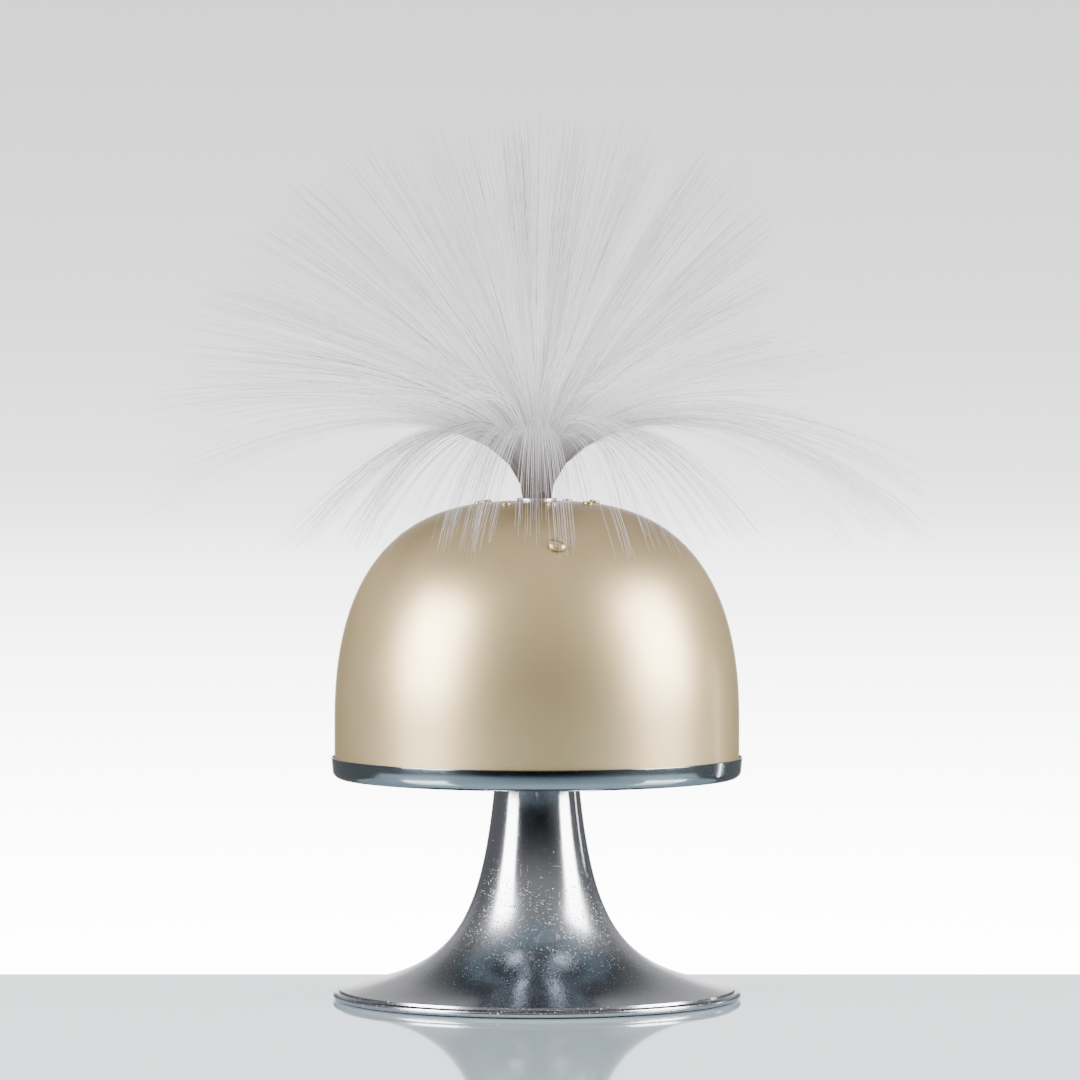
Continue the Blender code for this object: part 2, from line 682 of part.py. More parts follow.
def make_rod():
    tube("threaded_rod", ROD_BORE, ROD_RADIUS, ROD_NUT_FLOOR, ROD_TOP, "brass", None)
    tube("rod_washer", ROD_HOLE, WASHER_RADIUS, ROD_WASHER_FLOOR,
         ROD_WASHER_FLOOR + WASHER_THICKNESS, "steel", None)
    hex_nut("rod_nut", NUT_WIDTH, NUT_THICKNESS, ROD_HOLE, "steel", None, at(0, 0, ROD_NUT_FLOOR))
    tube("tray_washer", ROD_HOLE, WASHER_RADIUS, TRAY_WASHER_FLOOR,
         TRAY_WASHER_FLOOR + WASHER_THICKNESS, "steel", None)
    hex_nut("tray_nut", NUT_WIDTH, NUT_THICKNESS, ROD_HOLE, "steel", None, at(0, 0, TRAY_NUT_FLOOR))


# Tray

def tray_corner():
    """Middle of the tray's rounded lower corner."""
    return TRAY_FOOT_RADIUS - TRAY_CORNER, TRAY_FLOOR + TRAY_CORNER


def make_tray(pillar_places):
    corner_radius, corner_height = tray_corner()
    outline = [(TRAY_RADIUS, TRAY_FLOOR + TRAY_HEIGHT)]
    for i in range(TRAY_CORNER_STEPS + 1):
        angle = -i / TRAY_CORNER_STEPS * math.pi / 2
        outline.append((corner_radius + TRAY_CORNER * math.cos(angle),
                        corner_height + TRAY_CORNER * math.sin(angle)))
    outline.append((ROD_HOLE, TRAY_FLOOR))
    tray = turned("tray", outline, "chrome", None, around(FRONT_SCREW_ANGLE), sides=BIG_SIDES,
                  wall=TRAY_SHEET)
    low, high = TRAY_FLOOR - CUT_OVERRUN, TRAY_FLOOR_TOP + CUT_OVERRUN
    drill(tray, pillar_places, SCREW_HOLE, low, high)
    drill(tray, ring_places(TRAY_VENTS, TRAY_VENT_CIRCLE, 0), TRAY_VENT_RADIUS, low, high)


# Inner frame, holder, bulb and motor

def make_frame(pillar_places):
    outline = [
        (0, PILLAR_TOP - SCREW_LENGTH),
        (SCREW_HOLE, PILLAR_TOP - SCREW_LENGTH),
        (SCREW_HOLE, PILLAR_TOP),
        (PILLAR_RADIUS, PILLAR_TOP),
        (PILLAR_RADIUS, PILLAR_FLOOR),
        (SCREW_HOLE, PILLAR_FLOOR),
        (SCREW_HOLE, PILLAR_FLOOR + SCREW_LENGTH),
        (0, PILLAR_FLOOR + SCREW_LENGTH),
    ]
    upside_down = Matrix.Rotation(math.pi, 4, "X")
    for i, place in enumerate(pillar_places, 1):
        turned(f"pillar_{i}", outline, "steel", None, place, sides=FASTENER_SIDES)
        under_tray = place @ at(0, 0, TRAY_FLOOR - TOUCH_GAP) @ upside_down
        slotted_screw(f"pillar_foot_screw_{i}", SCREW_HEAD, SCREW_HEAD_HEIGHT, SCREW_SHANK,
                      SCREW_LENGTH, "steel", None, under_tray)
        on_deck = place @ at(0, 0, DECK_TOP + TOUCH_GAP)
        slotted_screw(f"pillar_head_screw_{i}", SCREW_HEAD, SCREW_HEAD_HEIGHT, SCREW_SHANK,
                      SCREW_LENGTH, "steel", None, on_deck)

    deck = tube("deck", BULB_HOLE, DECK_RADIUS, DECK_FLOOR, DECK_TOP, "steel", None, sides=MIDDLE_SIDES)
    low, high = DECK_FLOOR - CUT_OVERRUN, DECK_TOP + CUT_OVERRUN
    drill(deck, pillar_places + ear_places(0), SCREW_HOLE, low, high)
    drill(deck, [at(0, SHAFT_DISTANCE, 0)], DECK_SHAFT_HOLE, low, high)


def ear_places(height):
    reach = GEARBOX_RADIUS + EAR_REACH / 2
    return [at(side * reach, MOTOR_DISTANCE, height) for side in (-1, 1)]


def make_motor():
    motor_place = at(0, MOTOR_DISTANCE, 0)
    disc("motor_can", MOTOR_RADIUS, MOTOR_FLOOR, MOTOR_TOP, "steel", None, motor_place, sides=MIDDLE_SIDES)
    gearbox = disc("motor_gearbox", GEARBOX_RADIUS, GEARBOX_FLOOR, GEARBOX_TOP, "brass", None,
                   motor_place, sides=MIDDLE_SIDES)
    reach = GEARBOX_RADIUS + EAR_REACH
    ears = block("gearbox_ears", (-reach, MOTOR_DISTANCE - EAR_WIDTH / 2, GEARBOX_TOP - EAR_THICKNESS),
                 (reach, MOTOR_DISTANCE + EAR_WIDTH / 2, GEARBOX_TOP))
    combine(gearbox, ears, "UNION")
    drill(gearbox, ear_places(0), SCREW_HOLE, GEARBOX_TOP - EAR_THICKNESS - CUT_OVERRUN,
          GEARBOX_TOP + CUT_OVERRUN)
    drill(gearbox, [at(0, SHAFT_DISTANCE, 0)], SHAFT_RADIUS + TOUCH_GAP,
          GEARBOX_TOP - SHAFT_IN_GEARBOX - TOUCH_GAP, GEARBOX_TOP + CUT_OVERRUN)
    for i, place in enumerate(ear_places(DECK_TOP + TOUCH_GAP), 1):
        slotted_screw(f"motor_screw_{i}", SCREW_HEAD, SCREW_HEAD_HEIGHT, SCREW_SHANK, SCREW_LENGTH,
                      "steel", None, place)


def lead_entry_height():
    return HOLDER_TOP - LEAD_ENTRY_DROP


def make_lamp_holder():
    bore = CAP_THREAD_RADIUS + TOUCH_GAP
    boss_top = HOLDER_FLOOR + HOLDER_BOSS_HEIGHT
    outline = [
        (bore, HOLDER_TOP),
        (HOLDER_RADIUS, HOLDER_TOP),
        (HOLDER_RADIUS, boss_top),
        (HOLDER_BOSS_RADIUS, HOLDER_FLOOR),
        (ROD_HOLE, HOLDER_FLOOR),
        (ROD_HOLE, HOLDER_WEB_FLOOR),
        (HOLDER_FLUE_RADIUS, HOLDER_WEB_FLOOR),
        (HOLDER_FLUE_RADIUS, HOLDER_WEB_TOP),
        (bore, HOLDER_WEB_TOP),
    ]
    holder = turned("lamp_holder", outline, "bakelite", None, closed=True)
    socket = at(-HOLDER_RADIUS, 0, lead_entry_height()) @ Matrix.Rotation(math.pi / 2, 4, "Y")
    drill(holder, [socket], LEAD_RADIUS + TOUCH_GAP, -CUT_OVERRUN, LEAD_SOCKET_DEPTH + TOUCH_GAP)


def make_bulb():
    insulator = CAP_FLOOR + CAP_TIP_HEIGHT
    shoulder = insulator + CAP_SHOULDER_HEIGHT
    cap = [
        (0, CAP_TOP),
        (CAP_THREAD_RADIUS, CAP_TOP),
        (CAP_THREAD_RADIUS, shoulder),
        (CAP_TIP_RADIUS, insulator),
        (CAP_TIP_RADIUS, CAP_FLOOR),
        (0, CAP_FLOOR),
    ]
    turned("bulb_cap", cap, "brass", None)
    neck_top = HOLDER_TOP + TOUCH_GAP
    glass_rise = BULB_TOP - neck_top
    outline = [(BULB_RADIUS * across, neck_top + glass_rise * up) for across, up in GLASS_SHARES]
    outline += [(BULB_NECK, neck_top), (BULB_NECK, GLASS_FLOOR)]
    turned("bulb_glass", outline, "glass", None, wall=BULB_GLASS)


def make_motor_lead():
    """Two-core lead from the holder's side, bowed past the bulb's hole, to the motor's side."""
    start = Vector((-HOLDER_RADIUS + LEAD_SOCKET_DEPTH, 0, lead_entry_height()))
    end = Vector((-MOTOR_RADIUS - TOUCH_GAP, MOTOR_DISTANCE, (MOTOR_FLOOR + MOTOR_TOP) / 2))
    first = start - Vector((LEAD_START_PULL, 0, 0))
    last = end - Vector((LEAD_END_PULL, 0, 0))
    curve = bpy.data.curves.new("motor_lead", "CURVE")
    curve.dimensions = "3D"
    curve.bevel_depth = LEAD_RADIUS
    curve.bevel_resolution = 1
    curve.use_fill_caps = True
    line = curve.splines.new("POLY")
    line.points.add(LEAD_POINTS - 1)
    for i, point in enumerate(line.points):
        share = i / (LEAD_POINTS - 1)
        place = (start * (1 - share) ** 3 + first * 3 * share * (1 - share) ** 2
                 + last * 3 * share ** 2 * (1 - share) + end * share ** 3)
        point.co = (*place, 1)
    add_piece("motor_lead", curve, "lead", None)


# Colour wheel

def make_wheel(carrier):
    axis = at(0, SHAFT_DISTANCE, 0)
    cap_thread_top = WHEEL_CAP_FLOOR + CAP_HEIGHT - CAP_FLANGE
    disc("motor_shaft", SHAFT_RADIUS, GEARBOX_TOP - SHAFT_IN_GEARBOX, cap_thread_top - TOUCH_GAP,
         "steel", carrier, axis, sides=FASTENER_SIDES)
    shaft_hole = SHAFT_RADIUS + TOUCH_GAP
    tube("wheel_hub", shaft_hole, HUB_RADIUS, HUB_FLOOR, HUB_FLOOR + HUB_LENGTH, "brass", carrier,
         axis, sides=FASTENER_SIDES)
    radius = inner_dome_radius(WHEEL_FLOOR) - SHAFT_DISTANCE - WHEEL_DOME_GAP
    frame = tube("wheel_frame", shaft_hole, radius, WHEEL_FLOOR, WHEEL_FLOOR + WHEEL_SHEET,
                 "aluminium", carrier, axis, sides=MIDDLE_SIDES)
    window_in, window_out = WHEEL_INNER_RING, radius - WHEEL_RIM
    for i in range(FILTERS):
        window = sector(f"wheel_window_{i + 1}", i, window_in, window_out, WHEEL_SPOKE,
                        WHEEL_FLOOR - CUT_OVERRUN, WHEEL_FLOOR + WHEEL_SHEET + CUT_OVERRUN)
        combine(frame, window, "DIFFERENCE", axis)
        mesh = sector(f"colour_filter_{i + 1}", i, window_in - FILTER_LAP, window_out + FILTER_LAP,
                      FILTER_SPLIT, FILTER_FLOOR, FILTER_FLOOR + FILTER_SHEET)
        add_piece(f"colour_filter_{i + 1}", mesh, FILTER_FINISHES[i % len(FILTER_FINISHES)], carrier,
                  axis)

    cap = [
        (0, WHEEL_CAP_FLOOR + CAP_HEIGHT),
        (CAP_BOSS_RADIUS, WHEEL_CAP_FLOOR + CAP_HEIGHT),
        (CAP_RADIUS, WHEEL_CAP_FLOOR + CAP_FLANGE),
        (CAP_RADIUS, WHEEL_CAP_FLOOR),
        (shaft_hole, WHEEL_CAP_FLOOR),
        (shaft_hole, cap_thread_top),
        (0, cap_thread_top),
    ]
    turned("wheel_cap", cap, "brass", carrier, axis, sides=FASTENER_SIDES)


def sector(name, index, inner, outer, split, low, high):
    """A quarter of a ring, less half the split along each straight side."""
    share = FULL_TURN / FILTERS
    start = index * share
    points = []
    for radius, order in ((outer, range(FILTER_STEPS + 1)), (inner, range(FILTER_STEPS, -1, -1))):
        inset = math.asin(split / 2 / radius)
        for i in order:
            angle = start + inset + (share - 2 * inset) * i / FILTER_STEPS
            points.append((radius * math.cos(angle), radius * math.sin(angle)))
    bm = bmesh.new()
    floor = bm.faces.new([bm.verts.new((x, y, low)) for x, y in points])
    result = bmesh.ops.extrude_face_region(bm, geom=[floor])
    risen = [item for item in result["geom"] if isinstance(item, bmesh.types.BMVert)]
    bmesh.ops.translate(bm, verts=risen, vec=(0, 0, high - low))
    bmesh.ops.recalc_face_normals(bm, faces=bm.faces)
    return mesh_from(name, bm)


# Dome and socket

def dome_rim_height():
    """The dome's lower edge stands on the tray's rounded corner."""
    corner_radius, corner_height = tray_corner()
    inner_corner = TRAY_CORNER - TRAY_SHEET
    reach = DOME_RADIUS + TOUCH_GAP - corner_radius
    return corner_height - math.sqrt(max(inner_corner ** 2 - reach ** 2, 0)) + TOUCH_GAP


def make_dome(carrier):
    outline = [dome_point(angle) for angle in dome_bends()]
    outline.append((DOME_RADIUS, dome_rim_height()))
    dome = turned("dome", outline, "gold_paint", carrier, around(FRONT_SCREW_ANGLE), sides=BIG_SIDES,
                  wall=DOME_SHEET)
    vents = dome_places(VENT_COUNT, VENT_CIRCLE, FRONT_VENT_ANGLE)
    collars = cylinders("vent_collars", vents, VENT_COLLAR_RADIUS, -DOME_SHEET / 2,
                        VENT_COLLAR_HEIGHT, VENT_SIDES)
    combine(dome, collars, "UNION")
    drill(dome, vents, VENT_BORE, -DOME_SHEET - CUT_OVERRUN, VENT_COLLAR_HEIGHT + CUT_OVERRUN,
          sides=VENT_SIDES)
    drill(dome, dome_places(DOME_SCREWS, DOME_SCREW_CIRCLE, FRONT_SCREW_ANGLE),
          DOME_SCREW_SHANK + TOUCH_GAP, -DOME_SHEET - CUT_OVERRUN, CUT_OVERRUN)


def make_dome_screws(carrier):
    """Screws through dome and socket plate, each with a nut under the plate."""
    nut_top = TOUCH_GAP + DOME_SHEET + PLATE_SHEET + NUT_SEAT_GAP
    nut_floor = nut_top + DOME_NUT_THICKNESS
    length = nut_floor + TOUCH_GAP + DOME_SCREW_TAIL
    for i, place in enumerate(dome_places(DOME_SCREWS, DOME_SCREW_CIRCLE, FRONT_SCREW_ANGLE), 1):
        slotted_screw(f"dome_screw_{i}", DOME_SCREW_HEAD, DOME_SCREW_HEAD_HEIGHT, DOME_SCREW_SHANK,
                      length, "gold_paint", carrier, place @ at(0, 0, TOUCH_GAP), sides=SMALL_SIDES)
        hex_nut(f"dome_nut_{i}", DOME_NUT_WIDTH, DOME_NUT_THICKNESS, DOME_SCREW_SHANK + TOUCH_GAP,
                "steel", carrier, place @ at(0, 0, -nut_floor), sides=FASTENER_SIDES)


def make_socket(carrier):
    """Sleeve for the ferrule, held by a plate whose skirt follows the dome's inner face."""
    depth = DOME_SHEET + TOUCH_GAP
    skirt = [dome_point(angle, depth) for angle in plate_bends()]
    plate_top = skirt[0][1]
    outline = [(SOCKET_HOLE, plate_top)] + skirt
    plate = turned("socket_plate", outline, "steel", carrier, around(FRONT_SCREW_ANGLE),
                   sides=BIG_SIDES, wall=PLATE_SHEET)
    window_in = SOCKET_NUT_WIDTH / math.sqrt(3) + PLATE_INNER_WEB
    window_radius = (skirt[0][0] - PLATE_OUTER_WEB - window_in) / 2
    drill(plate, ring_places(PLATE_WINDOWS, window_in + window_radius, plate_top), window_radius,
          -PLATE_SHEET - CUT_OVERRUN, CUT_OVERRUN, sides=SMALL_SIDES)
    drill(plate, dome_places(DOME_SCREWS, DOME_SCREW_CIRCLE, FRONT_SCREW_ANGLE),
          DOME_SCREW_SHANK + TOUCH_GAP, -depth - PLATE_SHEET - CUT_OVERRUN, 0)

    flange_floor = plate_top + TOUCH_GAP
    flange_top = flange_floor + SLEEVE_FLANGE_THICKNESS
    flange_radius = SLEEVE_RADIUS + SLEEVE_FLANGE
    outline = [
        (SLEEVE_BORE, DOME_TOP),
        (SLEEVE_RADIUS, DOME_TOP),
        (SLEEVE_RADIUS, flange_top),
        (flange_radius, flange_top),
        (flange_radius, flange_floor),
        (SLEEVE_RADIUS, flange_floor),
        (SLEEVE_RADIUS, DOME_TOP - SLEEVE_LENGTH),
        (SLEEVE_BORE, DOME_TOP - SLEEVE_LENGTH),
    ]
    turned("socket_sleeve", outline, "steel", carrier, closed=True)
    hex_nut("socket_nut", SOCKET_NUT_WIDTH, SOCKET_NUT_THICKNESS, SOCKET_HOLE, "steel", carrier,
            at(0, 0, plate_top - PLATE_SHEET - TOUCH_GAP - SOCKET_NUT_THICKNESS))


# Ferrule and fibres

def make_ferrule(carrier):
    collar_radius = SLEEVE_BORE + FERRULE_COLLAR
    collar_top = FERRULE_TOP + FERRULE_COLLAR_THICKNESS
    outline = [
        (FERRULE_BORE, collar_top),
        (collar_radius, collar_top),
        (collar_radius, FERRULE_TOP),
        (FERRULE_RADIUS, FERRULE_TOP),
        (FERRULE_RADIUS, FERRULE_FLOOR),
        (FERRULE_BORE, FERRULE_FLOOR),
    ]
    turned("ferrule", outline, "aluminium", carrier, closed=True)


def ring_of_verts(bm, radius, count, height, twist=0.0):
    if count == 1:
        return [bm.verts.new((0, 0, height))]
    angles = [FULL_TURN * (i + twist) / count for i in range(count)]
    return [bm.verts.new((radius * math.cos(a), radius * math.sin(a), height)) for a in angles]


def stitch(bm, inner, outer, inner_twist, outer_twist):
    """Triangles between two rings of points about Z, seen anticlockwise from above."""
    faces = []
    i = j = 0
    while i < len(inner) * (len(inner) > 1) or j < len(outer):
        inner_next = (i + 1 + inner_twist) / len(inner)
        outer_next = (j + 1 + outer_twist) / len(outer)
        here, there = inner[i % len(inner)], outer[j % len(outer)]
        step_outer = j < len(outer) and (len(inner) == 1 or i >= len(inner) or outer_next <= inner_next)
        if step_outer:
            faces.append(bm.faces.new((here, there, outer[(j + 1) % len(outer)])))
            j += 1
        else:
            faces.append(bm.faces.new((here, there, inner[(i + 1) % len(inner)])))
            i += 1
    return faces


def strand_path(share, turn, chance):
    """Points of one fibre, as (out, up, lean, turn), from the bundle to its tip."""
    length = (FIBRE_LENGTH + FIBRE_EXTRA_LENGTH * share) * (1 + LENGTH_JITTER_SHARE * chance[0])
    lean_at_neck = FIBRE_SPREAD * share + LEAN_JITTER * share ** 2 * chance[1]
    droop = FIBRE_DROOP * share ** 2 * (1 + DROOP_JITTER_SHARE * chance[2])
    out = share * BUNDLE_RADIUS
    up = 0.0
    step = length / PATH_STEPS
    path = [(out, up, 0.0, turn)]
    for i in range(1, PATH_STEPS + 1):
        run = (i - 0.5) * step
        fall = max(run - FIBRE_NECK, 0) / (length - FIBRE_NECK)
        lean = lean_at_neck * min(run / FIBRE_NECK, 1) + droop * fall ** FIBRE_DROOP_POWER
        out += step * math.sin(lean)
        up += step * math.cos(lean)
        path.append((out, up, lean, turn + TURN_JITTER * chance[3] * i / PATH_STEPS))
    return path


def grow_strands(bm, faces, stations, dice):
    """Draw each triangle of the bundle's end out into a fibre of three sides."""
    number = bm.faces.layers.int["strand"]
    starts = []
    for i, face in enumerate(faces):
        face[number] = i
        middle = face.calc_center_median()
        out = math.hypot(middle.x, middle.y)
        turn = math.atan2(middle.y, middle.x)
        chance = [dice.uniform(-1, 1) for _ in range(4)]
        path = strand_path(out / BUNDLE_RADIUS, turn, chance)
        corners = [vert.co - middle for vert in face.verts]
        starts.append((path, corners, turn))
    for station in stations:
        result = bmesh.ops.extrude_discrete_faces(bm, faces=faces)
        faces = sorted(result["faces"], key=lambda face: face[number])
        thickness = FIBRE_THICKNESS * (1 - (1 - FIBRE_TIP_SHARE) * station)
        for face, (path, corners, turn) in zip(faces, starts):
            out, up, lean, swung = path[round(station * PATH_STEPS)]
            axis = Vector((-math.sin(turn), math.cos(turn), 0))
            tilt = Matrix.Rotation(lean, 3, axis)
            heart = Vector((out * math.cos(swung), out * math.sin(swung), BUNDLE_TOP + up))
            for vert, corner in zip(face.verts, corners):
                vert.co = heart + tilt @ (corner.normalized() * thickness)


def fibre_layer(name, radii, counts, stations, carrier, dice):
    """A ring of the bundle, from the ferrule's mouth up, fused to the fibres that leave it."""
    bm = bmesh.new()
    bm.faces.layers.int.new("strand")
    twists = [0.5 * (i % 2) if len(set(counts)) == 1 else 0.0 for i in range(len(counts))]
    rings = [ring_of_verts(bm, radius, count, BUNDLE_TOP, twist)
             for radius, count, twist in zip(radii, counts, twists)]
    tops = []
    for i in range(len(rings) - 1):
        tops += stitch(bm, rings[i], rings[i + 1], twists[i], twists[i + 1])

    outer_foot = ring_of_verts(bm, radii[-1], counts[-1], FERRULE_FLOOR, twists[-1])
    wall(bm, outer_foot, rings[-1])
    if counts[0] == 1:
        bm.faces.new(list(reversed(outer_foot)))
    else:
        inner_foot = ring_of_verts(bm, radii[0], counts[0], FERRULE_FLOOR, twists[0])
        wall(bm, rings[0], inner_foot)
        stitched = stitch(bm, inner_foot, outer_foot, twists[0], twists[-1])
        bmesh.ops.reverse_faces(bm, faces=stitched)
    grow_strands(bm, tops, stations, dice)
    add_piece(name, mesh_from(name, bm), "fibre", carrier)


def wall(bm, low, high):
    """Quads between two like rings, facing out of the first ring's solid side."""
    for i in range(len(low)):
        j = (i + 1) % len(low)
        bm.faces.new((low[i], low[j], high[j], high[i]))


def make_fibres(carrier):
    dice = random.Random(FIBRE_SEED)
    radii = [CORE_RADIUS * i / CORE_RINGS for i in range(CORE_RINGS + 1)]
    counts = [1] + [CORE_COLUMNS * i for i in range(1, CORE_RINGS + 1)]
    fibre_layer("fibre_core", radii, counts, CORE_STATION_SHARES, carrier, dice)
    inner = CORE_RADIUS + LAYER_GAP
    radii = [inner + (MIDDLE_RADIUS - inner) * i / MIDDLE_ROWS for i in range(MIDDLE_ROWS + 1)]
    fibre_layer("fibre_middle", radii, [MIDDLE_COLUMNS] * (MIDDLE_ROWS + 1), MIDDLE_STATION_SHARES,
                carrier, dice)
    inner = MIDDLE_RADIUS + LAYER_GAP
    radii = [inner + (BUNDLE_RADIUS - inner) * i / SKIRT_ROWS for i in range(SKIRT_ROWS + 1)]
    fibre_layer("fibre_skirt", radii, [SKIRT_COLUMNS] * (SKIRT_ROWS + 1), SKIRT_STATION_SHARES,
                carrier, dice)


# The lamp

clear_scene()
PARTS = new_collection("table_lamp")
CUTTERS = new_collection("cutters")

make_foot()
make_ballast(make_underside())
make_cord_inlet_bush()
make_rod()
pillar_stands = ring_places(PILLARS, PILLAR_CIRCLE, 0, math.radians(-90))
make_tray(pillar_stands)
make_frame(pillar_stands)
make_lamp_holder()
make_bulb()
make_motor()
make_motor_lead()

wheel_axis = new_carrier("wheel_axis", (0, SHAFT_DISTANCE, WHEEL_FLOOR))
make_wheel(wheel_axis)
dome_lift = new_carrier("dome_lift", (0, 0, dome_rim_height()))
make_dome(dome_lift)
make_dome_screws(dome_lift)
make_socket(dome_lift)
spray_lift = new_carrier("spray_lift", (0, 0, FERRULE_TOP), above=dome_lift)
make_ferrule(spray_lift)
make_fibres(spray_lift)
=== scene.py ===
# %% [markdown]
# # A fibre-optic table lamp
# The lamp has a spun metal foot, a shallow tray, a painted dome, and a spray of optical fibres that
# a bulb lights from below through a slowly turning colour wheel. Its CAD model is loaded here as a
# fixed frame, in metres, with +Z up and the table at height zero. The frame has plain facets, so
# this script turns the sheet metal finely, grows thin fibres and gives each surface its finish.

# %% Load the frame
import json
import math

import bpy
import numpy as np
from mathutils import Matrix, Vector


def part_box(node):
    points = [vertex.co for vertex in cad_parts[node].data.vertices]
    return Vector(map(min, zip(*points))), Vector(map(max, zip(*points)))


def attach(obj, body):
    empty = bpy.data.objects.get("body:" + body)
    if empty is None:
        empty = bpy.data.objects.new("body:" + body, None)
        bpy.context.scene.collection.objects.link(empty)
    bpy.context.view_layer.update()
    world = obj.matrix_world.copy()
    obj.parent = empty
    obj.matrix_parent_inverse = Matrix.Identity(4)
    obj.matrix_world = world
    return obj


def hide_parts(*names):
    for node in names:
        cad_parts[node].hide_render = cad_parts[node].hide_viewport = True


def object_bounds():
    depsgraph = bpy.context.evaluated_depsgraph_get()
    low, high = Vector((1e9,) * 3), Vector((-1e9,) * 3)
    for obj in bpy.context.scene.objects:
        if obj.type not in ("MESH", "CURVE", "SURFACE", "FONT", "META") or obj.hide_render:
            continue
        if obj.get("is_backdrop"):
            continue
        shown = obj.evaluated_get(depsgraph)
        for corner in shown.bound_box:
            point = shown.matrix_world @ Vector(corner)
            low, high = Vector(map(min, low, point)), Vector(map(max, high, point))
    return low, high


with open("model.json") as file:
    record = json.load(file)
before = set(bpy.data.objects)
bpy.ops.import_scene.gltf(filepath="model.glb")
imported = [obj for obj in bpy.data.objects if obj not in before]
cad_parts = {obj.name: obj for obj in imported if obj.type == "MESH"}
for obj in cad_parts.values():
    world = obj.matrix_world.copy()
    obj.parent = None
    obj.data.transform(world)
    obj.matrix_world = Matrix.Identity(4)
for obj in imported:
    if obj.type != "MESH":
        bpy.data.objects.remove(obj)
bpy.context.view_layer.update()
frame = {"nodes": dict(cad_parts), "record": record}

# %% [markdown]
# ## The camera
# The lamp was photographed from three to four metres away through a long lens, from a little above
# the dome's rim. A long lens keeps the foot and the tray at nearly the same width. The camera is
# placed by a point that it looks at on the lamp's axis, so that it can be checked by measuring.

# %% Camera
CAMERA_DISTANCE = 3.4
CAMERA_HEIGHT = 0.351
CAMERA_SIDE = 0.0015            # the lamp stands this far left of the picture's middle
AIM_HEIGHT = 0.2245
LENS_MM = 232
FAR_CLIP = 60

camera_place = Vector((CAMERA_SIDE, -CAMERA_DISTANCE, CAMERA_HEIGHT))
aim = Vector((CAMERA_SIDE, 0, AIM_HEIGHT)) - camera_place
bpy.ops.object.camera_add(location=camera_place, rotation=aim.to_track_quat("-Z", "Y").to_euler())
camera = bpy.context.object
camera.data.lens = LENS_MM
camera.data.clip_end = FAR_CLIP
bpy.context.scene.camera = camera
print("the camera looks down by", round(math.degrees(math.asin(-aim.normalized().z)), 2), "degrees")

# %% [markdown]
# ## Tools for nodes
# Materials are graphs of nodes. Writing each node on one line keeps a material readable, so one
# helper adds a node, sets its settings, and links or fills its inputs in a single call. The others
# name the few sums that most of the materials here are made of.

# %% Node helpers
def feed(tree, socket, value):
    """Link a socket to another node's output, or set it to a plain value."""
    if isinstance(value, bpy.types.NodeSocket):
        tree.links.new(value, socket)
    else:
        socket.default_value = value


def add_node(tree, kind, inputs=(), **settings):
    """Add a node, set its settings and feed those of its inputs that are named."""
    made = tree.nodes.new(kind)
    for name, value in settings.items():
        setattr(made, name, value)
    for name, value in dict(inputs).items():
        feed(tree, made.inputs[name], value)
    return made


def calculate(tree, operation, first, second=0.0):
    return add_node(tree, "ShaderNodeMath", {0: first, 1: second}, operation=operation).outputs[0]


def multiply(tree, first, second):
    return calculate(tree, "MULTIPLY", first, second)


def remap(tree, value, low, high, to_low=0.0, to_high=1.0, smooth=False):
    kind = "SMOOTHSTEP" if smooth else "LINEAR"
    inputs = {"Value": value, "From Min": low, "From Max": high, "To Min": to_low, "To Max": to_high}
    return add_node(tree, "ShaderNodeMapRange", inputs, interpolation_type=kind).outputs["Result"]


def band(tree, value, start, full, fade, end, first=0.0, last=0.0):
    """1 between full and fade, the first value below start and the last value above end."""
    return multiply(tree, remap(tree, value, start, full, first, 1.0, smooth=True),
                    remap(tree, value, fade, end, 1.0, last, smooth=True))


def mix_colours(tree, factor, first, second):
    """Colour one where the factor is 0, and colour two where it is 1."""
    made = add_node(tree, "ShaderNodeMix", {0: factor}, data_type="RGBA")
    for socket, colour in ((made.inputs[6], first), (made.inputs[7], second)):
        feed(tree, socket, (*colour, 1) if isinstance(colour, tuple) else colour)
    return made.outputs[2]


def object_place(tree):
    """Coordinates on the piece itself, so that a pattern moves along with it."""
    return add_node(tree, "ShaderNodeTexCoord").outputs["Object"]


def height_on(tree):
    return add_node(tree, "ShaderNodeSeparateXYZ", {0: object_place(tree)}).outputs["Z"]


def from_axis(tree, place):
    """How far a place is from the upright axis."""
    flat = add_node(tree, "ShaderNodeVectorMath", {0: place, 1: (1, 1, 0)}, operation="MULTIPLY")
    return add_node(tree, "ShaderNodeVectorMath", {0: flat.outputs[0]}, operation="LENGTH").outputs["Value"]


# %% [markdown]
# ## The backdrop
# Behind the table the photographer hung a pale sweep, grey at the top and white near the table.
# A bowl that shines by itself gives that in every view. Only the camera sees the bowl, because the
# metal would otherwise mirror white from all sides, which the real studio didn't have.

# %% Backdrop
BOWL_RADIUS = 9.0
BOWL_HEIGHT = 6.0
COVE_RADIUS = 2.5
COVE_STEPS = 12
PAPER_TINT = (0.985, 0.99, 1.0, 1)
# (distance from the axis as a share of the bowl's radius, brightness)
BOWL_SHINE = ((0.05, 15.0), (0.17, 11.0), (0.29, 8.0), (0.50, 5.4), (0.72, 3.9), (0.79, 2.75),
              (0.86, 1.95), (0.925, 1.55), (1.0, 1.30))
TABLE_THICKNESS = 0.012
MERGE_DISTANCE = 0.000002
SMOOTH_ANGLE = math.radians(32)


def start_piece(name, primitive, **settings):
    """A named primitive, its place and size in its mesh, with nothing else selected."""
    bpy.ops.object.select_all(action="DESELECT")
    primitive(**settings)
    piece = bpy.context.object
    piece.name = name
    piece.data.name = name
    bpy.ops.object.transform_apply(location=True, rotation=True, scale=True)
    return piece


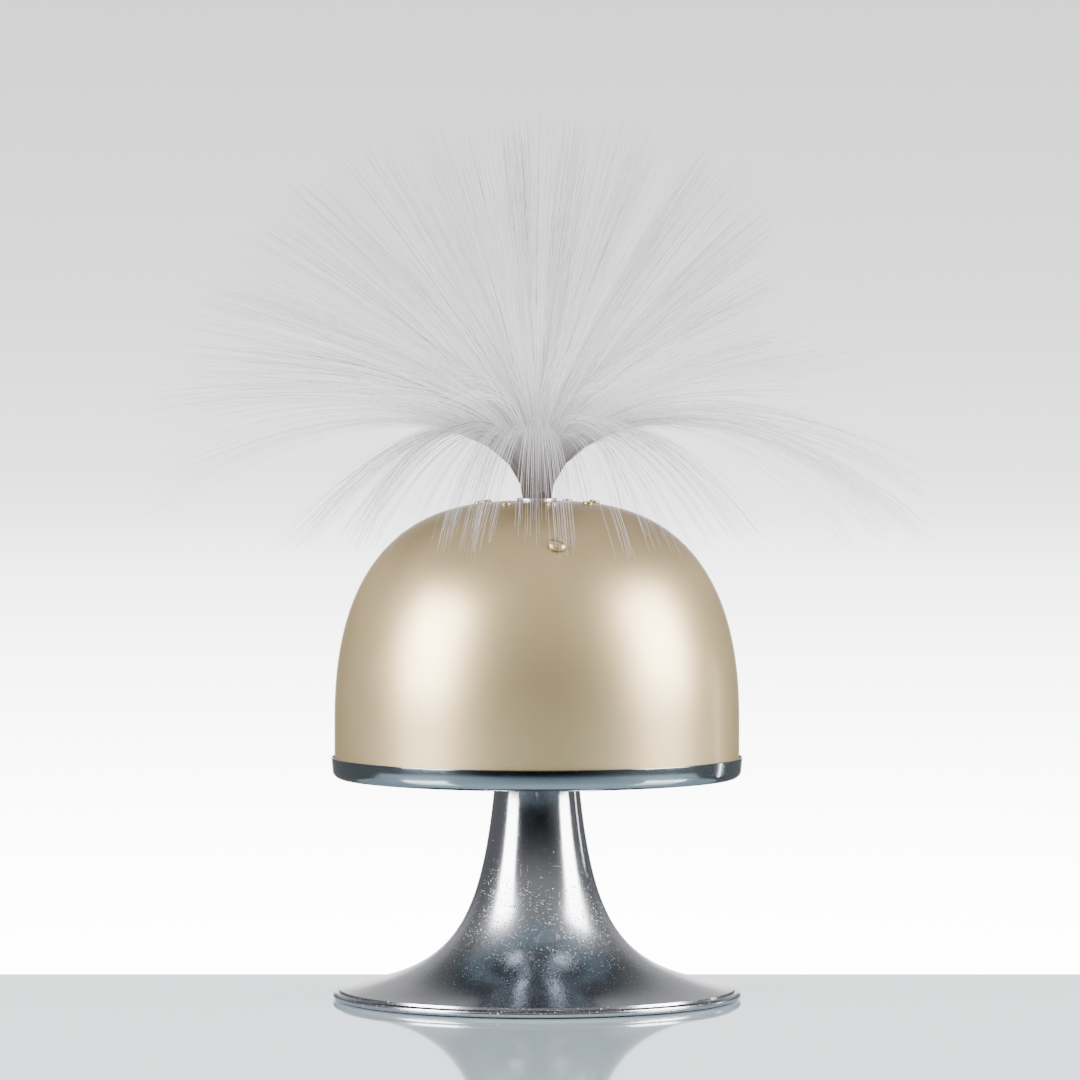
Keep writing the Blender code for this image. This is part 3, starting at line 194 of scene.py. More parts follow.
def turned(name, outline, sides=96, turn=math.tau):
    """A piece turned round Z: its outline is drawn by extruding one point, and spun."""
    piece = start_piece(name, bpy.ops.mesh.primitive_plane_add, size=1)
    bpy.ops.object.mode_set(mode="EDIT")
    bpy.ops.mesh.merge(type="CENTER")
    here = Vector((0, 0, 0))
    for i, (radius, height) in enumerate(outline):
        there = Vector((radius, 0, height))
        if i:
            bpy.ops.mesh.extrude_region_move(TRANSFORM_OT_translate={"value": there - here})
        else:
            bpy.ops.transform.translate(value=there - here)
        here = there
    bpy.ops.mesh.select_all(action="SELECT")
    bpy.ops.mesh.spin(steps=sides, angle=turn, center=(0, 0, 0), axis=(0, 0, 1))
    bpy.ops.mesh.select_all(action="SELECT")
    bpy.ops.mesh.remove_doubles(threshold=MERGE_DISTANCE)
    if turn < math.tau:
        bpy.ops.mesh.fill_holes(sides=0)
        bpy.ops.mesh.select_all(action="SELECT")
    bpy.ops.mesh.normals_make_consistent(inside=False)
    bpy.ops.object.mode_set(mode="OBJECT")
    bpy.ops.object.shade_smooth_by_angle(angle=SMOOTH_ANGLE)
    return piece


def quarter(centre, radius, start, end, steps):
    """Points of an arc round a centre, its angles in degrees from straight out to straight up."""
    angles = [math.radians(start + (end - start) * i / steps) for i in range(steps + 1)]
    return [(centre[0] + radius * math.cos(a), centre[1] + radius * math.sin(a)) for a in angles]


bowl_outline = [(0, -TABLE_THICKNESS)]
bowl_outline += quarter((BOWL_RADIUS - COVE_RADIUS, COVE_RADIUS - TABLE_THICKNESS), COVE_RADIUS,
                        -90, 0, COVE_STEPS)
bowl_outline.append((BOWL_RADIUS, BOWL_HEIGHT))
bowl = turned("backdrop", bowl_outline)
bowl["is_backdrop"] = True
for kind in ("diffuse", "glossy", "transmission", "volume_scatter", "shadow"):
    setattr(bowl, "visible_" + kind, False)

sweep_paper = bpy.data.materials.new("sweep_paper")
sweep_paper.use_nodes = True
tree = sweep_paper.node_tree
tree.nodes.remove(tree.nodes["Principled BSDF"])
place_share = calculate(tree, "DIVIDE", from_axis(tree, object_place(tree)), BOWL_RADIUS)
ramp = add_node(tree, "ShaderNodeValToRGB", {0: place_share})
while len(ramp.color_ramp.elements) < len(BOWL_SHINE):
    ramp.color_ramp.elements.new(1.0)
brightest = BOWL_SHINE[0][1]
for element, (place, light) in zip(ramp.color_ramp.elements, BOWL_SHINE):
    element.position = place
    element.color = (light / brightest, light / brightest, light / brightest, 1)
shine = multiply(tree, ramp.outputs["Color"], brightest)
glow = add_node(tree, "ShaderNodeEmission", {"Color": PAPER_TINT, "Strength": shine})
feed(tree, tree.nodes["Material Output"].inputs["Surface"], glow.outputs[0])
bowl.data.materials.append(sweep_paper)
print("the backdrop has", len(bowl.data.polygons), "faces")

# %% [markdown]
# ## The table
# The lamp stands near the back edge of a glossy pale table, which mirrors its foot. A bevelled slab
# with a smooth surface over a pale blue-grey body gives the soft body colour and the mirror image,
# which grows stronger at the flat angle that the camera looks at. The table can't mirror the
# backdrop, so its pale body colour also stands in for that mirrored paper: painted reflection.

# %% Table
TABLE_WIDTH = 2.6
TABLE_FRONT = -1.7
TABLE_BACK = 0.118
TABLE_BEVEL = 0.0015
# Partly the table's own blue-grey, partly painted reflection of the pale backdrop
TABLE_TINT_AND_PAINTED_REFLECTION = (0.44, 0.535, 0.590, 1)


def new_finish(name, roughness, metallic=0.0, **plain):
    """A material whose even values are set on the Principled shader's own sockets."""
    material = bpy.data.materials.new(name)
    material.use_nodes = True
    sockets = material.node_tree.nodes["Principled BSDF"].inputs
    for title, value in dict(plain, roughness=roughness, metallic=metallic).items():
        sockets[title.replace("_", " ").title().replace("Ior", "IOR")].default_value = value
    return material, material.node_tree, sockets


def block(name, low, high, bevel=0.0, segments=2):
    """A box between two corners, with rounded edges if a bevel is given."""
    middle, size = (Vector(low) + Vector(high)) / 2, Vector(high) - Vector(low)
    piece = start_piece(name, bpy.ops.mesh.primitive_cube_add, size=1, location=middle, scale=size)
    if bevel:
        bpy.ops.object.mode_set(mode="EDIT")
        bpy.ops.mesh.select_all(action="SELECT")
        bpy.ops.mesh.bevel(offset=bevel, segments=segments)
        bpy.ops.object.mode_set(mode="OBJECT")
    return piece


table = block("table", (-TABLE_WIDTH / 2, TABLE_FRONT, -TABLE_THICKNESS), (TABLE_WIDTH / 2, TABLE_BACK, 0),
              bevel=TABLE_BEVEL, segments=3)
table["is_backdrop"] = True
table.data.materials.append(new_finish("table_top", 0.05, base_color=TABLE_TINT_AND_PAINTED_REFLECTION, ior=1.6)[0])
print("the table has", len(table.data.polygons), "faces")

# %% [markdown]
# ## The light
# Two tall soft boxes stand left and right of the lamp, a little above it and toward the camera. Each
# draws one of the two soft bright panels on the dome and one of the bright stripes on the foot. A
# narrow strip light behind the right side draws the thin line near the dome's edge.

# %% Lights
LIT_HEIGHT = 0.20
# (name, degrees from the camera's side toward the right, distance, height, width, tall, watts)
SOFT_BOXES = (("left_box", -65, 1.6, 0.74, 0.90, 1.10, 74),
              ("right_box", 77, 1.6, 0.74, 0.90, 1.10, 74),
              ("edge_strip", 122, 1.8, 0.05, 0.05, 0.5, 1.2))


def soft_box(name, azimuth, distance, height, width, tall, watts):
    """An area light round the lamp, which faces the lamp."""
    turn = math.radians(azimuth)
    place = Vector((distance * math.sin(turn), -distance * math.cos(turn), height))
    facing = (Vector((0, 0, LIT_HEIGHT)) - place).to_track_quat("-Z", "Y").to_euler()
    bpy.ops.object.light_add(type="AREA", location=place, rotation=facing)
    light = bpy.context.object
    light.name = name
    light.data.shape = "RECTANGLE"
    light.data.size = width
    light.data.size_y = tall
    light.data.energy = watts
    light.visible_camera = False
    print(name, "stands at", [round(c, 2) for c in place])


for values in SOFT_BOXES:
    soft_box(*values)

# %% [markdown]
# The metal mirrors the room as well. It is dim, and darkest behind the camera, which is what the
# middle of the foot mirrors. A glow stands over that darkness and another high behind the lamp, and
# low behind the lamp the lit paper is bright.

# %% Room
# Directions: ahead is 1 straight behind the lamp and -1 behind the camera, rise is 1 straight up
world = bpy.data.worlds.new("studio_room")
bpy.context.scene.world = world
world.use_nodes = True
tree = world.node_tree
direction = add_node(tree, "ShaderNodeSeparateXYZ",
                     {0: add_node(tree, "ShaderNodeTexCoord").outputs["Generated"]})
rise, ahead = direction.outputs["Z"], direction.outputs["Y"]

dark_front = multiply(tree, remap(tree, ahead, -1.0, -0.45, 1.0, 0.0, smooth=True),
                      remap(tree, rise, 0.15, 0.45, 1.0, 0.0, smooth=True))
front_glow = multiply(tree, remap(tree, ahead, -0.50, -0.15, 1.0, 0.0, smooth=True),
                      band(tree, rise, 0.20, 0.48, 0.70, 0.88))
back_high = multiply(tree, remap(tree, ahead, 0.60, 0.90, smooth=True),
                     band(tree, rise, 0.10, 0.20, 0.30, 0.55))
back_low = multiply(tree, remap(tree, ahead, 0.965, 0.985, smooth=True),
                    remap(tree, rise, 0.13, 0.20, 1.0, 0.0, smooth=True))
room = mix_colours(tree, remap(tree, rise, 0.45, 0.80, smooth=True), (0.20, 0.205, 0.215),
                   (0.03, 0.03, 0.032))
for mask, colour in ((dark_front, (0.006, 0.008, 0.010)), (front_glow, (0.42, 0.42, 0.42)),
                     (back_high, (0.65, 0.65, 0.67)), (back_low, (2.75, 2.80, 2.85))):
    room = mix_colours(tree, mask, room, colour)
feed(tree, tree.nodes["Background"].inputs["Color"], room)
print("the room has", len(tree.nodes), "nodes")

# %% [markdown]
# ## Textures that several finishes share
# Old chrome has pits, paint has flakes, castings have grain and every flat top gathers dust. Each of
# these is a node group that is built once and placed in several materials with its own values.

# %% Node groups
def new_group(name, output, **inputs):
    """A node group with one output, the vector Place and further inputs that are numbers."""
    tree = bpy.data.node_groups.new(name, "ShaderNodeTree")
    tree.interface.new_socket("Place", in_out="INPUT", socket_type="NodeSocketVector")
    for title, value in inputs.items():
        socket = tree.interface.new_socket(title.title(), in_out="INPUT", socket_type="NodeSocketFloat")
        socket.default_value = value
    tree.interface.new_socket(output, in_out="OUTPUT", socket_type="NodeSocketFloat")
    return tree, tree.nodes.new("NodeGroupInput").outputs, tree.nodes.new("NodeGroupOutput").inputs[output]


tree, given, result = new_group("pits", "Pits", scale=900, amount=0.5)
cells = add_node(tree, "ShaderNodeTexVoronoi", {"Vector": given["Place"], "Scale": given["Scale"]})
chance = add_node(tree, "ShaderNodeSeparateColor", {0: cells.outputs["Color"]}).outputs[0]
reach = multiply(tree, calculate(tree, "POWER", chance, 2.0), given["Amount"])
inside = calculate(tree, "SUBTRACT", reach, cells.outputs["Distance"])
feed(tree, result, remap(tree, inside, 0.0, 0.08))

tree, given, result = new_group("mottle", "Value", scale=30)
cloud = add_node(tree, "ShaderNodeTexNoise",
                 {"Vector": given["Place"], "Scale": given["Scale"], "Detail": 4.0, "Roughness": 0.6})
feed(tree, result, remap(tree, cloud.outputs["Fac"], 0.25, 0.75, smooth=True))

tree, given, result = new_group("turning_lines", "Lines", scale=2500)
height = add_node(tree, "ShaderNodeSeparateXYZ", {0: given["Place"]}).outputs["Z"]
along = calculate(tree, "ADD", from_axis(tree, given["Place"]), height)
lines = add_node(tree, "ShaderNodeTexNoise", {"W": along, "Scale": given["Scale"], "Detail": 2.0},
                 noise_dimensions="1D")
feed(tree, result, lines.outputs["Fac"])

tree, given, result = new_group("dust", "Dust", amount=0.3)
normal = add_node(tree, "ShaderNodeNewGeometry").outputs["Normal"]
facing = add_node(tree, "ShaderNodeSeparateXYZ", {0: normal}).outputs["Z"]
settled = remap(tree, facing, 0.25, 0.95, smooth=True)
grains = add_node(tree, "ShaderNodeTexNoise", {"Vector": given["Place"], "Scale": 260.0, "Detail": 5.0})
patchy = remap(tree, grains.outputs["Fac"], 0.35, 0.75)
feed(tree, result, multiply(tree, multiply(tree, settled, patchy), given["Amount"]))
print("node groups:", [group.name for group in bpy.data.node_groups])


def use_group(tree, name, **inputs):
    """Place a node group in a material, on the piece's own coordinates."""
    made = tree.nodes.new("ShaderNodeGroup")
    made.node_tree = bpy.data.node_groups[name]
    feed(tree, made.inputs["Place"], object_place(tree))
    for title, value in inputs.items():
        feed(tree, made.inputs[title.title()], value)
    return made.outputs[0]


def add_bump(tree, sockets, height, distance, strength=1.0):
    bump = add_node(tree, "ShaderNodeBump",
                    {"Height": height, "Distance": distance, "Strength": strength})
    feed(tree, sockets["Normal"], bump.outputs["Normal"])


# %% [markdown]
# ## Old chrome
# The foot and the tray are chromed sheet. The plating on the foot has pitted over the years, most of
# all where the flare widens, where the pits look like dark and pale specks. A pit is darker, duller
# and a hair lower than the chrome round it. Height decides how many pits there are, and how hazy the
# plating between them has become.

# %% Chrome finishes
PIT_COLOUR = (0.20, 0.21, 0.22)
PIT_DEPTH = 0.00006
# Heights where the foot's pits come in, are full, start to thin out and have thinned out
PIT_HEIGHTS = (0.010, 0.036, 0.046, 0.076)
HAZE_HEIGHTS = (0.006, 0.026, 0.030, 0.074)


def chrome(name, tint, dullness, pitting, worn=False):
    """Chromed sheet; on worn plating, the pits and the haze come and go with the height."""
    material, tree, sockets = new_finish(name, dullness, 1.0)
    clouds = use_group(tree, "mottle", scale=45.0)
    dull = remap(tree, clouds, 0.0, 1.0, dullness, dullness * 1.6)
    if worn:
        height = height_on(tree)
        pitting = multiply(tree, band(tree, height, *PIT_HEIGHTS, first=0.66, last=0.3), pitting)
        haze = multiply(tree, band(tree, height, *HAZE_HEIGHTS, first=0.35), 0.13)
        dull = calculate(tree, "ADD", dull, haze)
    fine = use_group(tree, "pits", scale=900.0, amount=pitting)
    coarse = use_group(tree, "pits", scale=480.0, amount=multiply(tree, pitting, 0.7))
    pits = calculate(tree, "MAXIMUM", fine, coarse)
    clean = mix_colours(tree, clouds, tint, tuple(0.90 * part for part in tint))
    feed(tree, sockets["Base Color"], mix_colours(tree, multiply(tree, pits, 0.75), clean, PIT_COLOUR))
    feed(tree, sockets["Roughness"], calculate(tree, "ADD", dull, multiply(tree, pits, 0.28)))
    add_bump(tree, sockets, calculate(tree, "SUBTRACT", 1.0, pits), PIT_DEPTH)
    return material


foot_chrome = chrome("pitted_chrome", (0.50, 0.505, 0.53), 0.10, 0.50, worn=True)
tray_chrome = chrome("tray_chrome", (0.32, 0.37, 0.40), 0.09, 0.06)
print("nodes in the two chromes:", len(foot_chrome.node_tree.nodes), len(tray_chrome.node_tree.nodes))

# %% [markdown]
# ## Painted dome
# The dome is sprayed with a champagne-gold metallic paint. Fine metal flakes in it spread the soft
# boxes into broad panels, and a thin clear coat adds a weak sharper shine. The flakes are a fine
# noise in the colour, and slow clouds in the colour and the roughness keep the paint from looking
# like plastic. Round the top the paint is darkened toward brown, which is painted shade for the dim
# room that the top mirrors, and a little dust lies where the dome is level.

# %% Paint
PAINTED_SHADE_FROM = 0.205
PAINTED_SHADE_TO = 0.236
PAINTED_SHADE_SHARE = 0.55              # how far the top is darkened by the painted shade
PAINTED_SHADE_DARKNESS = 0.42
DOME_DUST = (0.40, 0.36, 0.31)


def metallic_paint(name, colour, shade):
    material, tree, sockets = new_finish(name, 0.33, 0.80, coat_weight=0.25, coat_roughness=0.17,
                                         specular_tint=(0.55, 0.48, 0.38, 1))
    flakes = use_group(tree, "mottle", scale=1500.0)
    clouds = use_group(tree, "mottle", scale=16.0)
    base = mix_colours(tree, multiply(tree, flakes, 0.22), colour, shade)
    base = mix_colours(tree, multiply(tree, clouds, 0.14), base, shade)
    # Painted shade: the colour darkens toward brown round the top, where the paint mirrors the dim room
    painted_top_shade = remap(tree, height_on(tree), PAINTED_SHADE_FROM, PAINTED_SHADE_TO, 0.0, PAINTED_SHADE_SHARE, smooth=True)
    base = mix_colours(tree, painted_top_shade, base, tuple(PAINTED_SHADE_DARKNESS * part for part in shade))
    dust = use_group(tree, "dust", amount=0.12)
    feed(tree, sockets["Base Color"], mix_colours(tree, dust, base, DOME_DUST))
    rough = calculate(tree, "ADD", remap(tree, clouds, 0.0, 1.0, 0.34, 0.39), multiply(tree, dust, 0.5))
    feed(tree, sockets["Roughness"], rough)
    add_bump(tree, sockets, flakes, 0.000012, 0.6)
    return material


dome_paint = metallic_paint("champagne_paint", (0.70, 0.535, 0.290), (0.53, 0.395, 0.200))
print("the paint has", len(dome_paint.node_tree.nodes), "nodes")

# %% [markdown]
# ## Foot
# The foot is one sheet, spun over a former: a narrow neck that flares into a wide skirt with a small
# groove and a rolled bead at its rim. The flare follows a hyperbola between the two, which leaves
# the neck nearly straight and opens quickly near the table. The sheet is drawn as a closed outline,
# outer face down and inner face up, and turned.

# %% Foot
FINE_SIDES = 160
FOOT_RADIUS = 0.100
NECK_RADIUS = 0.0205
NECK_EDGE = 0.0006
FLARE_BEND = 0.0098
FLARE_START = 0.0050
FLARE_STEPS = 56
GROOVE_SETBACK = 0.0032
BEAD_RADIUS = 0.0018
FOOT_SHEET = 0.0012
INNER_FACE_END = 0.0955         # radius at which the inner face runs into the bead
ROD_HOLE = 0.0053
FOOT_LIFT = 0.0004


def span(node):
    """The lowest and highest heights of a CAD node."""
    low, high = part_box(node)
    return low.z, high.z


foot_top = span("foot")[1]


def flare(height, depth=0.0):
    """Point on the foot's outer face at a height, or at a depth square under it."""
    low, high = 1 / (FLARE_START + FLARE_BEND), 1 / (foot_top + FLARE_BEND)
    swell = (FOOT_RADIUS - GROOVE_SETBACK - NECK_RADIUS) / (low - high)
    radius = NECK_RADIUS + swell * (1 / (height + FLARE_BEND) - high)
    slope = -swell / (height + FLARE_BEND) ** 2
    along = math.hypot(1, slope)
    return radius - depth / along, height + depth * slope / along


bent_top = foot_top - NECK_EDGE + FLARE_BEND
ratio = (FLARE_START + FLARE_BEND) / bent_top
heights = [bent_top * ratio ** (i / FLARE_STEPS) - FLARE_BEND for i in range(FLARE_STEPS + 1)]
inner_face = [flare(height, FOOT_SHEET) for height in reversed(heights)
              if flare(height)[0] < INNER_FACE_END]
outline = [(ROD_HOLE, foot_top), (NECK_RADIUS - NECK_EDGE, foot_top)]
outline += [flare(height) for height in heights]
outline += quarter((FOOT_RADIUS - BEAD_RADIUS, FOOT_LIFT + BEAD_RADIUS), BEAD_RADIUS, 125, -180, 22)
outline += inner_face + [(NECK_RADIUS - FOOT_SHEET, foot_top - FOOT_SHEET)]
outline += [(ROD_HOLE, foot_top - FOOT_SHEET), (ROD_HOLE, foot_top)]
foot = turned("foot_sheet", outline, FINE_SIDES)

# %% [markdown]
# The cord leaves through a notch at the back of the rim. A notch is cut with a Boolean: a plain block
# stands where the cut is wanted, and is removed when the modifier has been applied.

# %% Cuts
NOTCH_GAP = Vector((0.0003, 0.0003, 0.0003))
NOTCH_OVERRUN = 0.004


def select_only(piece):
    bpy.ops.object.select_all(action="DESELECT")
    piece.select_set(True)
    bpy.context.view_layer.objects.active = piece


def cut(piece, cutter, operation="DIFFERENCE"):
    """Cut, join or intersect a piece with a cutter's shape, and throw the cutter away."""
    select_only(piece)
    boolean = piece.modifiers.new("Cut", "BOOLEAN")
    boolean.object = cutter
    boolean.operation = operation
    boolean.solver = "EXACT"
    bpy.ops.object.modifier_apply(modifier="Cut")
    bpy.data.objects.remove(cutter)
    bpy.ops.object.shade_smooth_by_angle(angle=SMOOTH_ANGLE)


def dress(piece, body, slot, material, *nodes):
    """Give a finished piece its finish, and hang it on its body in place of the CAD nodes."""
    piece.data.materials.clear()
    piece.data.materials.append(material)
    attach(piece, body)
    if nodes:
        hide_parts(*nodes)
    print(piece.name, "has", len(piece.data.polygons), "faces")


bush_low, bush_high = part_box("cord_inlet_bush")
cut(foot, block("notch", bush_low - NOTCH_GAP - Vector((0, 0, NOTCH_OVERRUN)),
                bush_high + NOTCH_GAP + Vector((0, NOTCH_OVERRUN, 0))))
dress(foot, "lamp", "chrome", foot_chrome, "foot")

# %% [markdown]
# ## Tray
# The tray is a shallow pan of the same chromed sheet. Its wall leans out a little and stands proud of
# the dome, so a thin mirror line runs round under the paint. The wall's top edge and its lower corner
# are rounded, because both catch the light.

# %% Tray
TRAY_SHEET = 0.0008
TRAY_CORNER = 0.0040
TRAY_RADIUS = 0.1007
TRAY_FOOT_RADIUS = 0.1002
TRAY_VENTS = 6
TRAY_VENT_CIRCLE = 0.078
TRAY_VENT_RADIUS = 0.0045
tray_floor, tray_top = span("tray")
corner = (TRAY_FOOT_RADIUS - TRAY_CORNER, tray_floor + TRAY_CORNER)

outline = [(ROD_HOLE, tray_floor)] + quarter(corner, TRAY_CORNER, -90, 0, 12)
outline += quarter((TRAY_RADIUS - TRAY_SHEET / 2, tray_top - TRAY_SHEET / 2), TRAY_SHEET / 2, 0, 180, 8)
outline += quarter(corner, TRAY_CORNER - TRAY_SHEET, 0, -90, 10)
outline += [(ROD_HOLE, tray_floor + TRAY_SHEET), (ROD_HOLE, tray_floor)]
tray = turned("tray_pan", outline, FINE_SIDES)

# %% [markdown]
# Holes are drilled as in the workshop: a place says where the drill stands and how it leans, and the
# drill reaches through the sheet from both sides. Holes in a ring differ by a turn about the axis.

# %% Drilling
DRILL_LENGTH = 0.004
LONG_DRILL_LENGTH = 0.006       # for a sheet that leans, or a thick piece


def drill(piece, places, radius, length=DRILL_LENGTH):
    """Drill a round hole at each place, along its Z."""
    for place in places:
        cutter = start_piece("drill", bpy.ops.mesh.primitive_cylinder_add, vertices=32, radius=radius,
                             depth=length)
        cutter.data.transform(place)
        cut(piece, cutter)


def lift(height):
    return Matrix.Translation((0, 0, height))


def turns_round(count, start=0.0):
    """Turns about the upright axis, evenly spaced from an angle."""
    return [Matrix.Rotation(start + math.tau * i / count, 4, "Z") for i in range(count)]


vent = Matrix.Translation((TRAY_VENT_CIRCLE, 0, tray_floor))
drill(tray, [turn @ vent for turn in turns_round(TRAY_VENTS)], TRAY_VENT_RADIUS)
dress(tray, "lamp", "chrome", tray_chrome, "tray")

# %% [markdown]
# ## Dome
# The dome's side view is a superellipse over a short straight wall: squarer than a circle at the
# shoulder and flatter on top. The same formula gives the face for the inner side of the sheet. A
# ring of small raised vent collars stands round the top, and a screw sits on the shoulder.

# %% Dome
DOME_RADIUS = 0.0991
DOME_SHEET = 0.0010
DOME_CURVE_FLOOR = 0.1340
SIDE_POWER = 2.85
TOP_POWER = 2.4
DOME_STEPS = 64
STEP_POWER = 1.25               # above one, the steps shorten toward the straight wall
RIM_EDGE = 0.0003
SOCKET_HOLE = 0.0101
VENTS = 8
VENT_CIRCLE = 0.029
VENT_BORE = 0.0017
FIRST_VENT = math.radians(-76)
dome_rim = span("dome")[0]
curve_height = span("socket_sleeve")[1] - DOME_CURVE_FLOOR


def dome_angle(radius):
    """The superellipse's angle from the top, at a radius."""
    return math.asin(min(1.0, (radius / DOME_RADIUS) ** (SIDE_POWER / 2)))


def dome_face(angle, depth=0.0):
    """(radius, height) on the dome's outer face, or square under it, and how the face leans."""
    across = math.sin(angle) ** (2 - 2 / SIDE_POWER) * SIDE_POWER / DOME_RADIUS
    up = max(math.cos(angle), 0.0) ** (2 - 2 / TOP_POWER) * TOP_POWER / curve_height
    long = math.hypot(across, up)
    radius = DOME_RADIUS * math.sin(angle) ** (2 / SIDE_POWER)
    rise = curve_height * max(math.cos(angle), 0.0) ** (2 / TOP_POWER)
    point = (radius - depth * across / long, DOME_CURVE_FLOOR + rise - depth * up / long)
    return point, math.atan2(across, up)


def on_dome(count, radius, start):
    """Places on the dome's outer face, their Z square to it."""
    (face_radius, face_height), lean = dome_face(dome_angle(radius))
    place = Matrix.Translation((face_radius, 0, face_height)) @ Matrix.Rotation(lean, 4, "Y")
    return [turn @ place for turn in turns_round(count, start)]


first = dome_angle(SOCKET_HOLE)
bends = [first + (math.pi / 2 - first) * (1 - (1 - i / DOME_STEPS) ** STEP_POWER)
         for i in range(DOME_STEPS + 1)]
inner_radius = DOME_RADIUS - DOME_SHEET
outline = [dome_face(angle)[0] for angle in bends]
outline += [(DOME_RADIUS, dome_rim + RIM_EDGE), (DOME_RADIUS - RIM_EDGE, dome_rim)]
outline += [(inner_radius + RIM_EDGE, dome_rim), (inner_radius, dome_rim + RIM_EDGE)]
outline += [dome_face(angle, DOME_SHEET)[0] for angle in reversed(bends)]
outline.append(outline[0])
dome = turned("dome_sheet", outline, FINE_SIDES)

# The dome's outer face as a table, for what lies over it
dome_radii, dome_heights = np.array(outline[:DOME_STEPS + 1]).T

vent_places = on_dome(VENTS, VENT_CIRCLE, FIRST_VENT)
drill(dome, vent_places, VENT_BORE, LONG_DRILL_LENGTH)
dress(dome, "dome", "gold_paint", dome_paint, "dome")

# %% [markdown]
# A vent is pierced and its edge drawn up into a rounded collar. One collar is turned on the origin
# and copied to its eight places, each copy with its own mesh.

# %% Vent collars and copies
VENT_COLLAR = 0.0025
VENT_RISE = 0.0013
COLLAR_FILLET = 0.0005
COLLAR_SINK = 0.0002            # of the fillet's edge, below the dome's face


def copies(model, places, names):
    """A copy of a piece at each place, with its own mesh; the model itself is removed."""
    made = []
    for place, name in zip(places, names):
        piece = model.copy()
        piece.data = model.data.copy()
        piece.name = name
        piece.data.name = name
        piece.data.transform(place)
        bpy.context.scene.collection.objects.link(piece)
        made.append(piece)
    bpy.data.objects.remove(model)
    return made


lip = (VENT_COLLAR - VENT_BORE) / 2
outline = [(VENT_BORE, -DOME_SHEET)]
outline += quarter((VENT_BORE + lip, VENT_RISE - lip), lip, 180, 0, 8)
outline += quarter((VENT_COLLAR + COLLAR_FILLET, COLLAR_FILLET), COLLAR_FILLET, 180, 270, 4)
outline += [(VENT_COLLAR + 2 * COLLAR_SINK, -COLLAR_SINK), (VENT_COLLAR, -3 * COLLAR_SINK)]
outline.append(outline[0])
collar = turned("vent_collar", outline, 32)
for piece in copies(collar, vent_places, [f"vent_collar_{i + 1}" for i in range(VENTS)]):
    dress(piece, "dome", "gold_paint", dome_paint)

# %% [markdown]
# ## Screws
# All screws here are round-headed with a slot. The three on the dome's shoulder hold the fibre socket
# from inside and were painted with the dome; the others are plated. One function turns a head and a
# shank to size and cuts the slot.

# %% Screws
DOME_SCREWS = 3
DOME_SCREW_CIRCLE = 0.070
DOME_SCREW_HEAD = 0.0044
DOME_SCREW_RISE = 0.0026
DOME_SCREW_SHANK = 0.0020
DOME_SCREW_LENGTH = 0.0068
FIRST_DOME_SCREW = math.radians(-82)
DOME_SLOT_TURN = math.radians(64)
SEAT_GAP = 0.0003
CROWN_STEPS = 9
EDGE_SHARE = 0.16               # of a head's rise, at its edge
SLOT_FLOOR_SHARE = 0.55         # of a head's rise
SLOT_HALF_SHARE = 0.13          # of a head's radius


def round_head_screw(name, head, rise, shank, length):
    """Screw with its seat at the origin, its head up and its shank down."""
    angles = [math.radians(90 * i / CROWN_STEPS) for i in range(CROWN_STEPS + 1)]
    crown = [(head * math.sin(a), rise * (EDGE_SHARE + (1 - EDGE_SHARE) * math.cos(a))) for a in angles]
    screw = turned(name, crown + [(head, 0), (shank, 0), (shank, -length), (0, -length)], 36)
    slot = SLOT_HALF_SHARE * head
    cut(screw, block("slot", (-2 * head, -slot, SLOT_FLOOR_SHARE * rise), (2 * head, slot, 2 * rise)))
    return screw


screw_places = [place @ lift(SEAT_GAP) @ Matrix.Rotation(DOME_SLOT_TURN, 4, "Z")
                for place in on_dome(DOME_SCREWS, DOME_SCREW_CIRCLE, FIRST_DOME_SCREW)]
nodes = [f"dome_screw_{i + 1}" for i in range(DOME_SCREWS)]
screw = round_head_screw("dome_screw", DOME_SCREW_HEAD, DOME_SCREW_RISE, DOME_SCREW_SHANK,
                         DOME_SCREW_LENGTH)
for piece, node in zip(copies(screw, screw_places, [node + "_fine" for node in nodes]), nodes):
    dress(piece, "dome", "gold_paint", dome_paint, node)

# %% [markdown]
# ## Plain metals, moulding, felt and glass
# The rest are workshop finishes: zinc-plated steel with faint grey clouds, turned brass and
# aluminium with fine lathe lines, rough cast iron, dark felt, brown-black moulding, clear glass, soft
# insulation and dyed sheet. They are built from the shared textures, each at the scale of the real
# surface. Where only clouds are needed, one function sets both ends of the colour and the roughness.

# %% Workshop finishes
def plated_steel():
    material, tree, sockets = new_finish("plated_steel", 0.34, 1.0)
    clouds = use_group(tree, "mottle", scale=60.0)
    grain = use_group(tree, "mottle", scale=700.0)
    base = mix_colours(tree, clouds, (0.60, 0.61, 0.62), (0.50, 0.50, 0.49))
    dust = use_group(tree, "dust", amount=0.25)
    feed(tree, sockets["Base Color"], mix_colours(tree, dust, base, (0.42, 0.40, 0.37)))
    feed(tree, sockets["Roughness"], remap(tree, grain, 0.0, 1.0, 0.28, 0.42))
    return material


def turned_metal(name, colour, shade, rough_low, rough_high):
    material, tree, sockets = new_finish(name, rough_low, 1.0)
    lines = use_group(tree, "turning_lines", scale=2600.0)
    feed(tree, sockets["Base Color"], mix_colours(tree, lines, colour, shade))
    feed(tree, sockets["Roughness"], remap(tree, lines, 0.3, 0.7, rough_low, rough_high))
    add_bump(tree, sockets, lines, 0.00001)
    return material


def clouded(name, scale, colour, shade, rough_low, rough_high, metallic=0.0, bump=0.0, **plain):
    """A finish with soft clouds, which drift between two colours and two roughnesses."""
    material, tree, sockets = new_finish(name, rough_low, metallic, **plain)
    clouds = use_group(tree, "mottle", scale=scale)
    feed(tree, sockets["Base Color"], mix_colours(tree, clouds, colour, shade))
    feed(tree, sockets["Roughness"], remap(tree, clouds, 0.0, 1.0, rough_low, rough_high))
    if bump:
        add_bump(tree, sockets, clouds, bump)
    return material


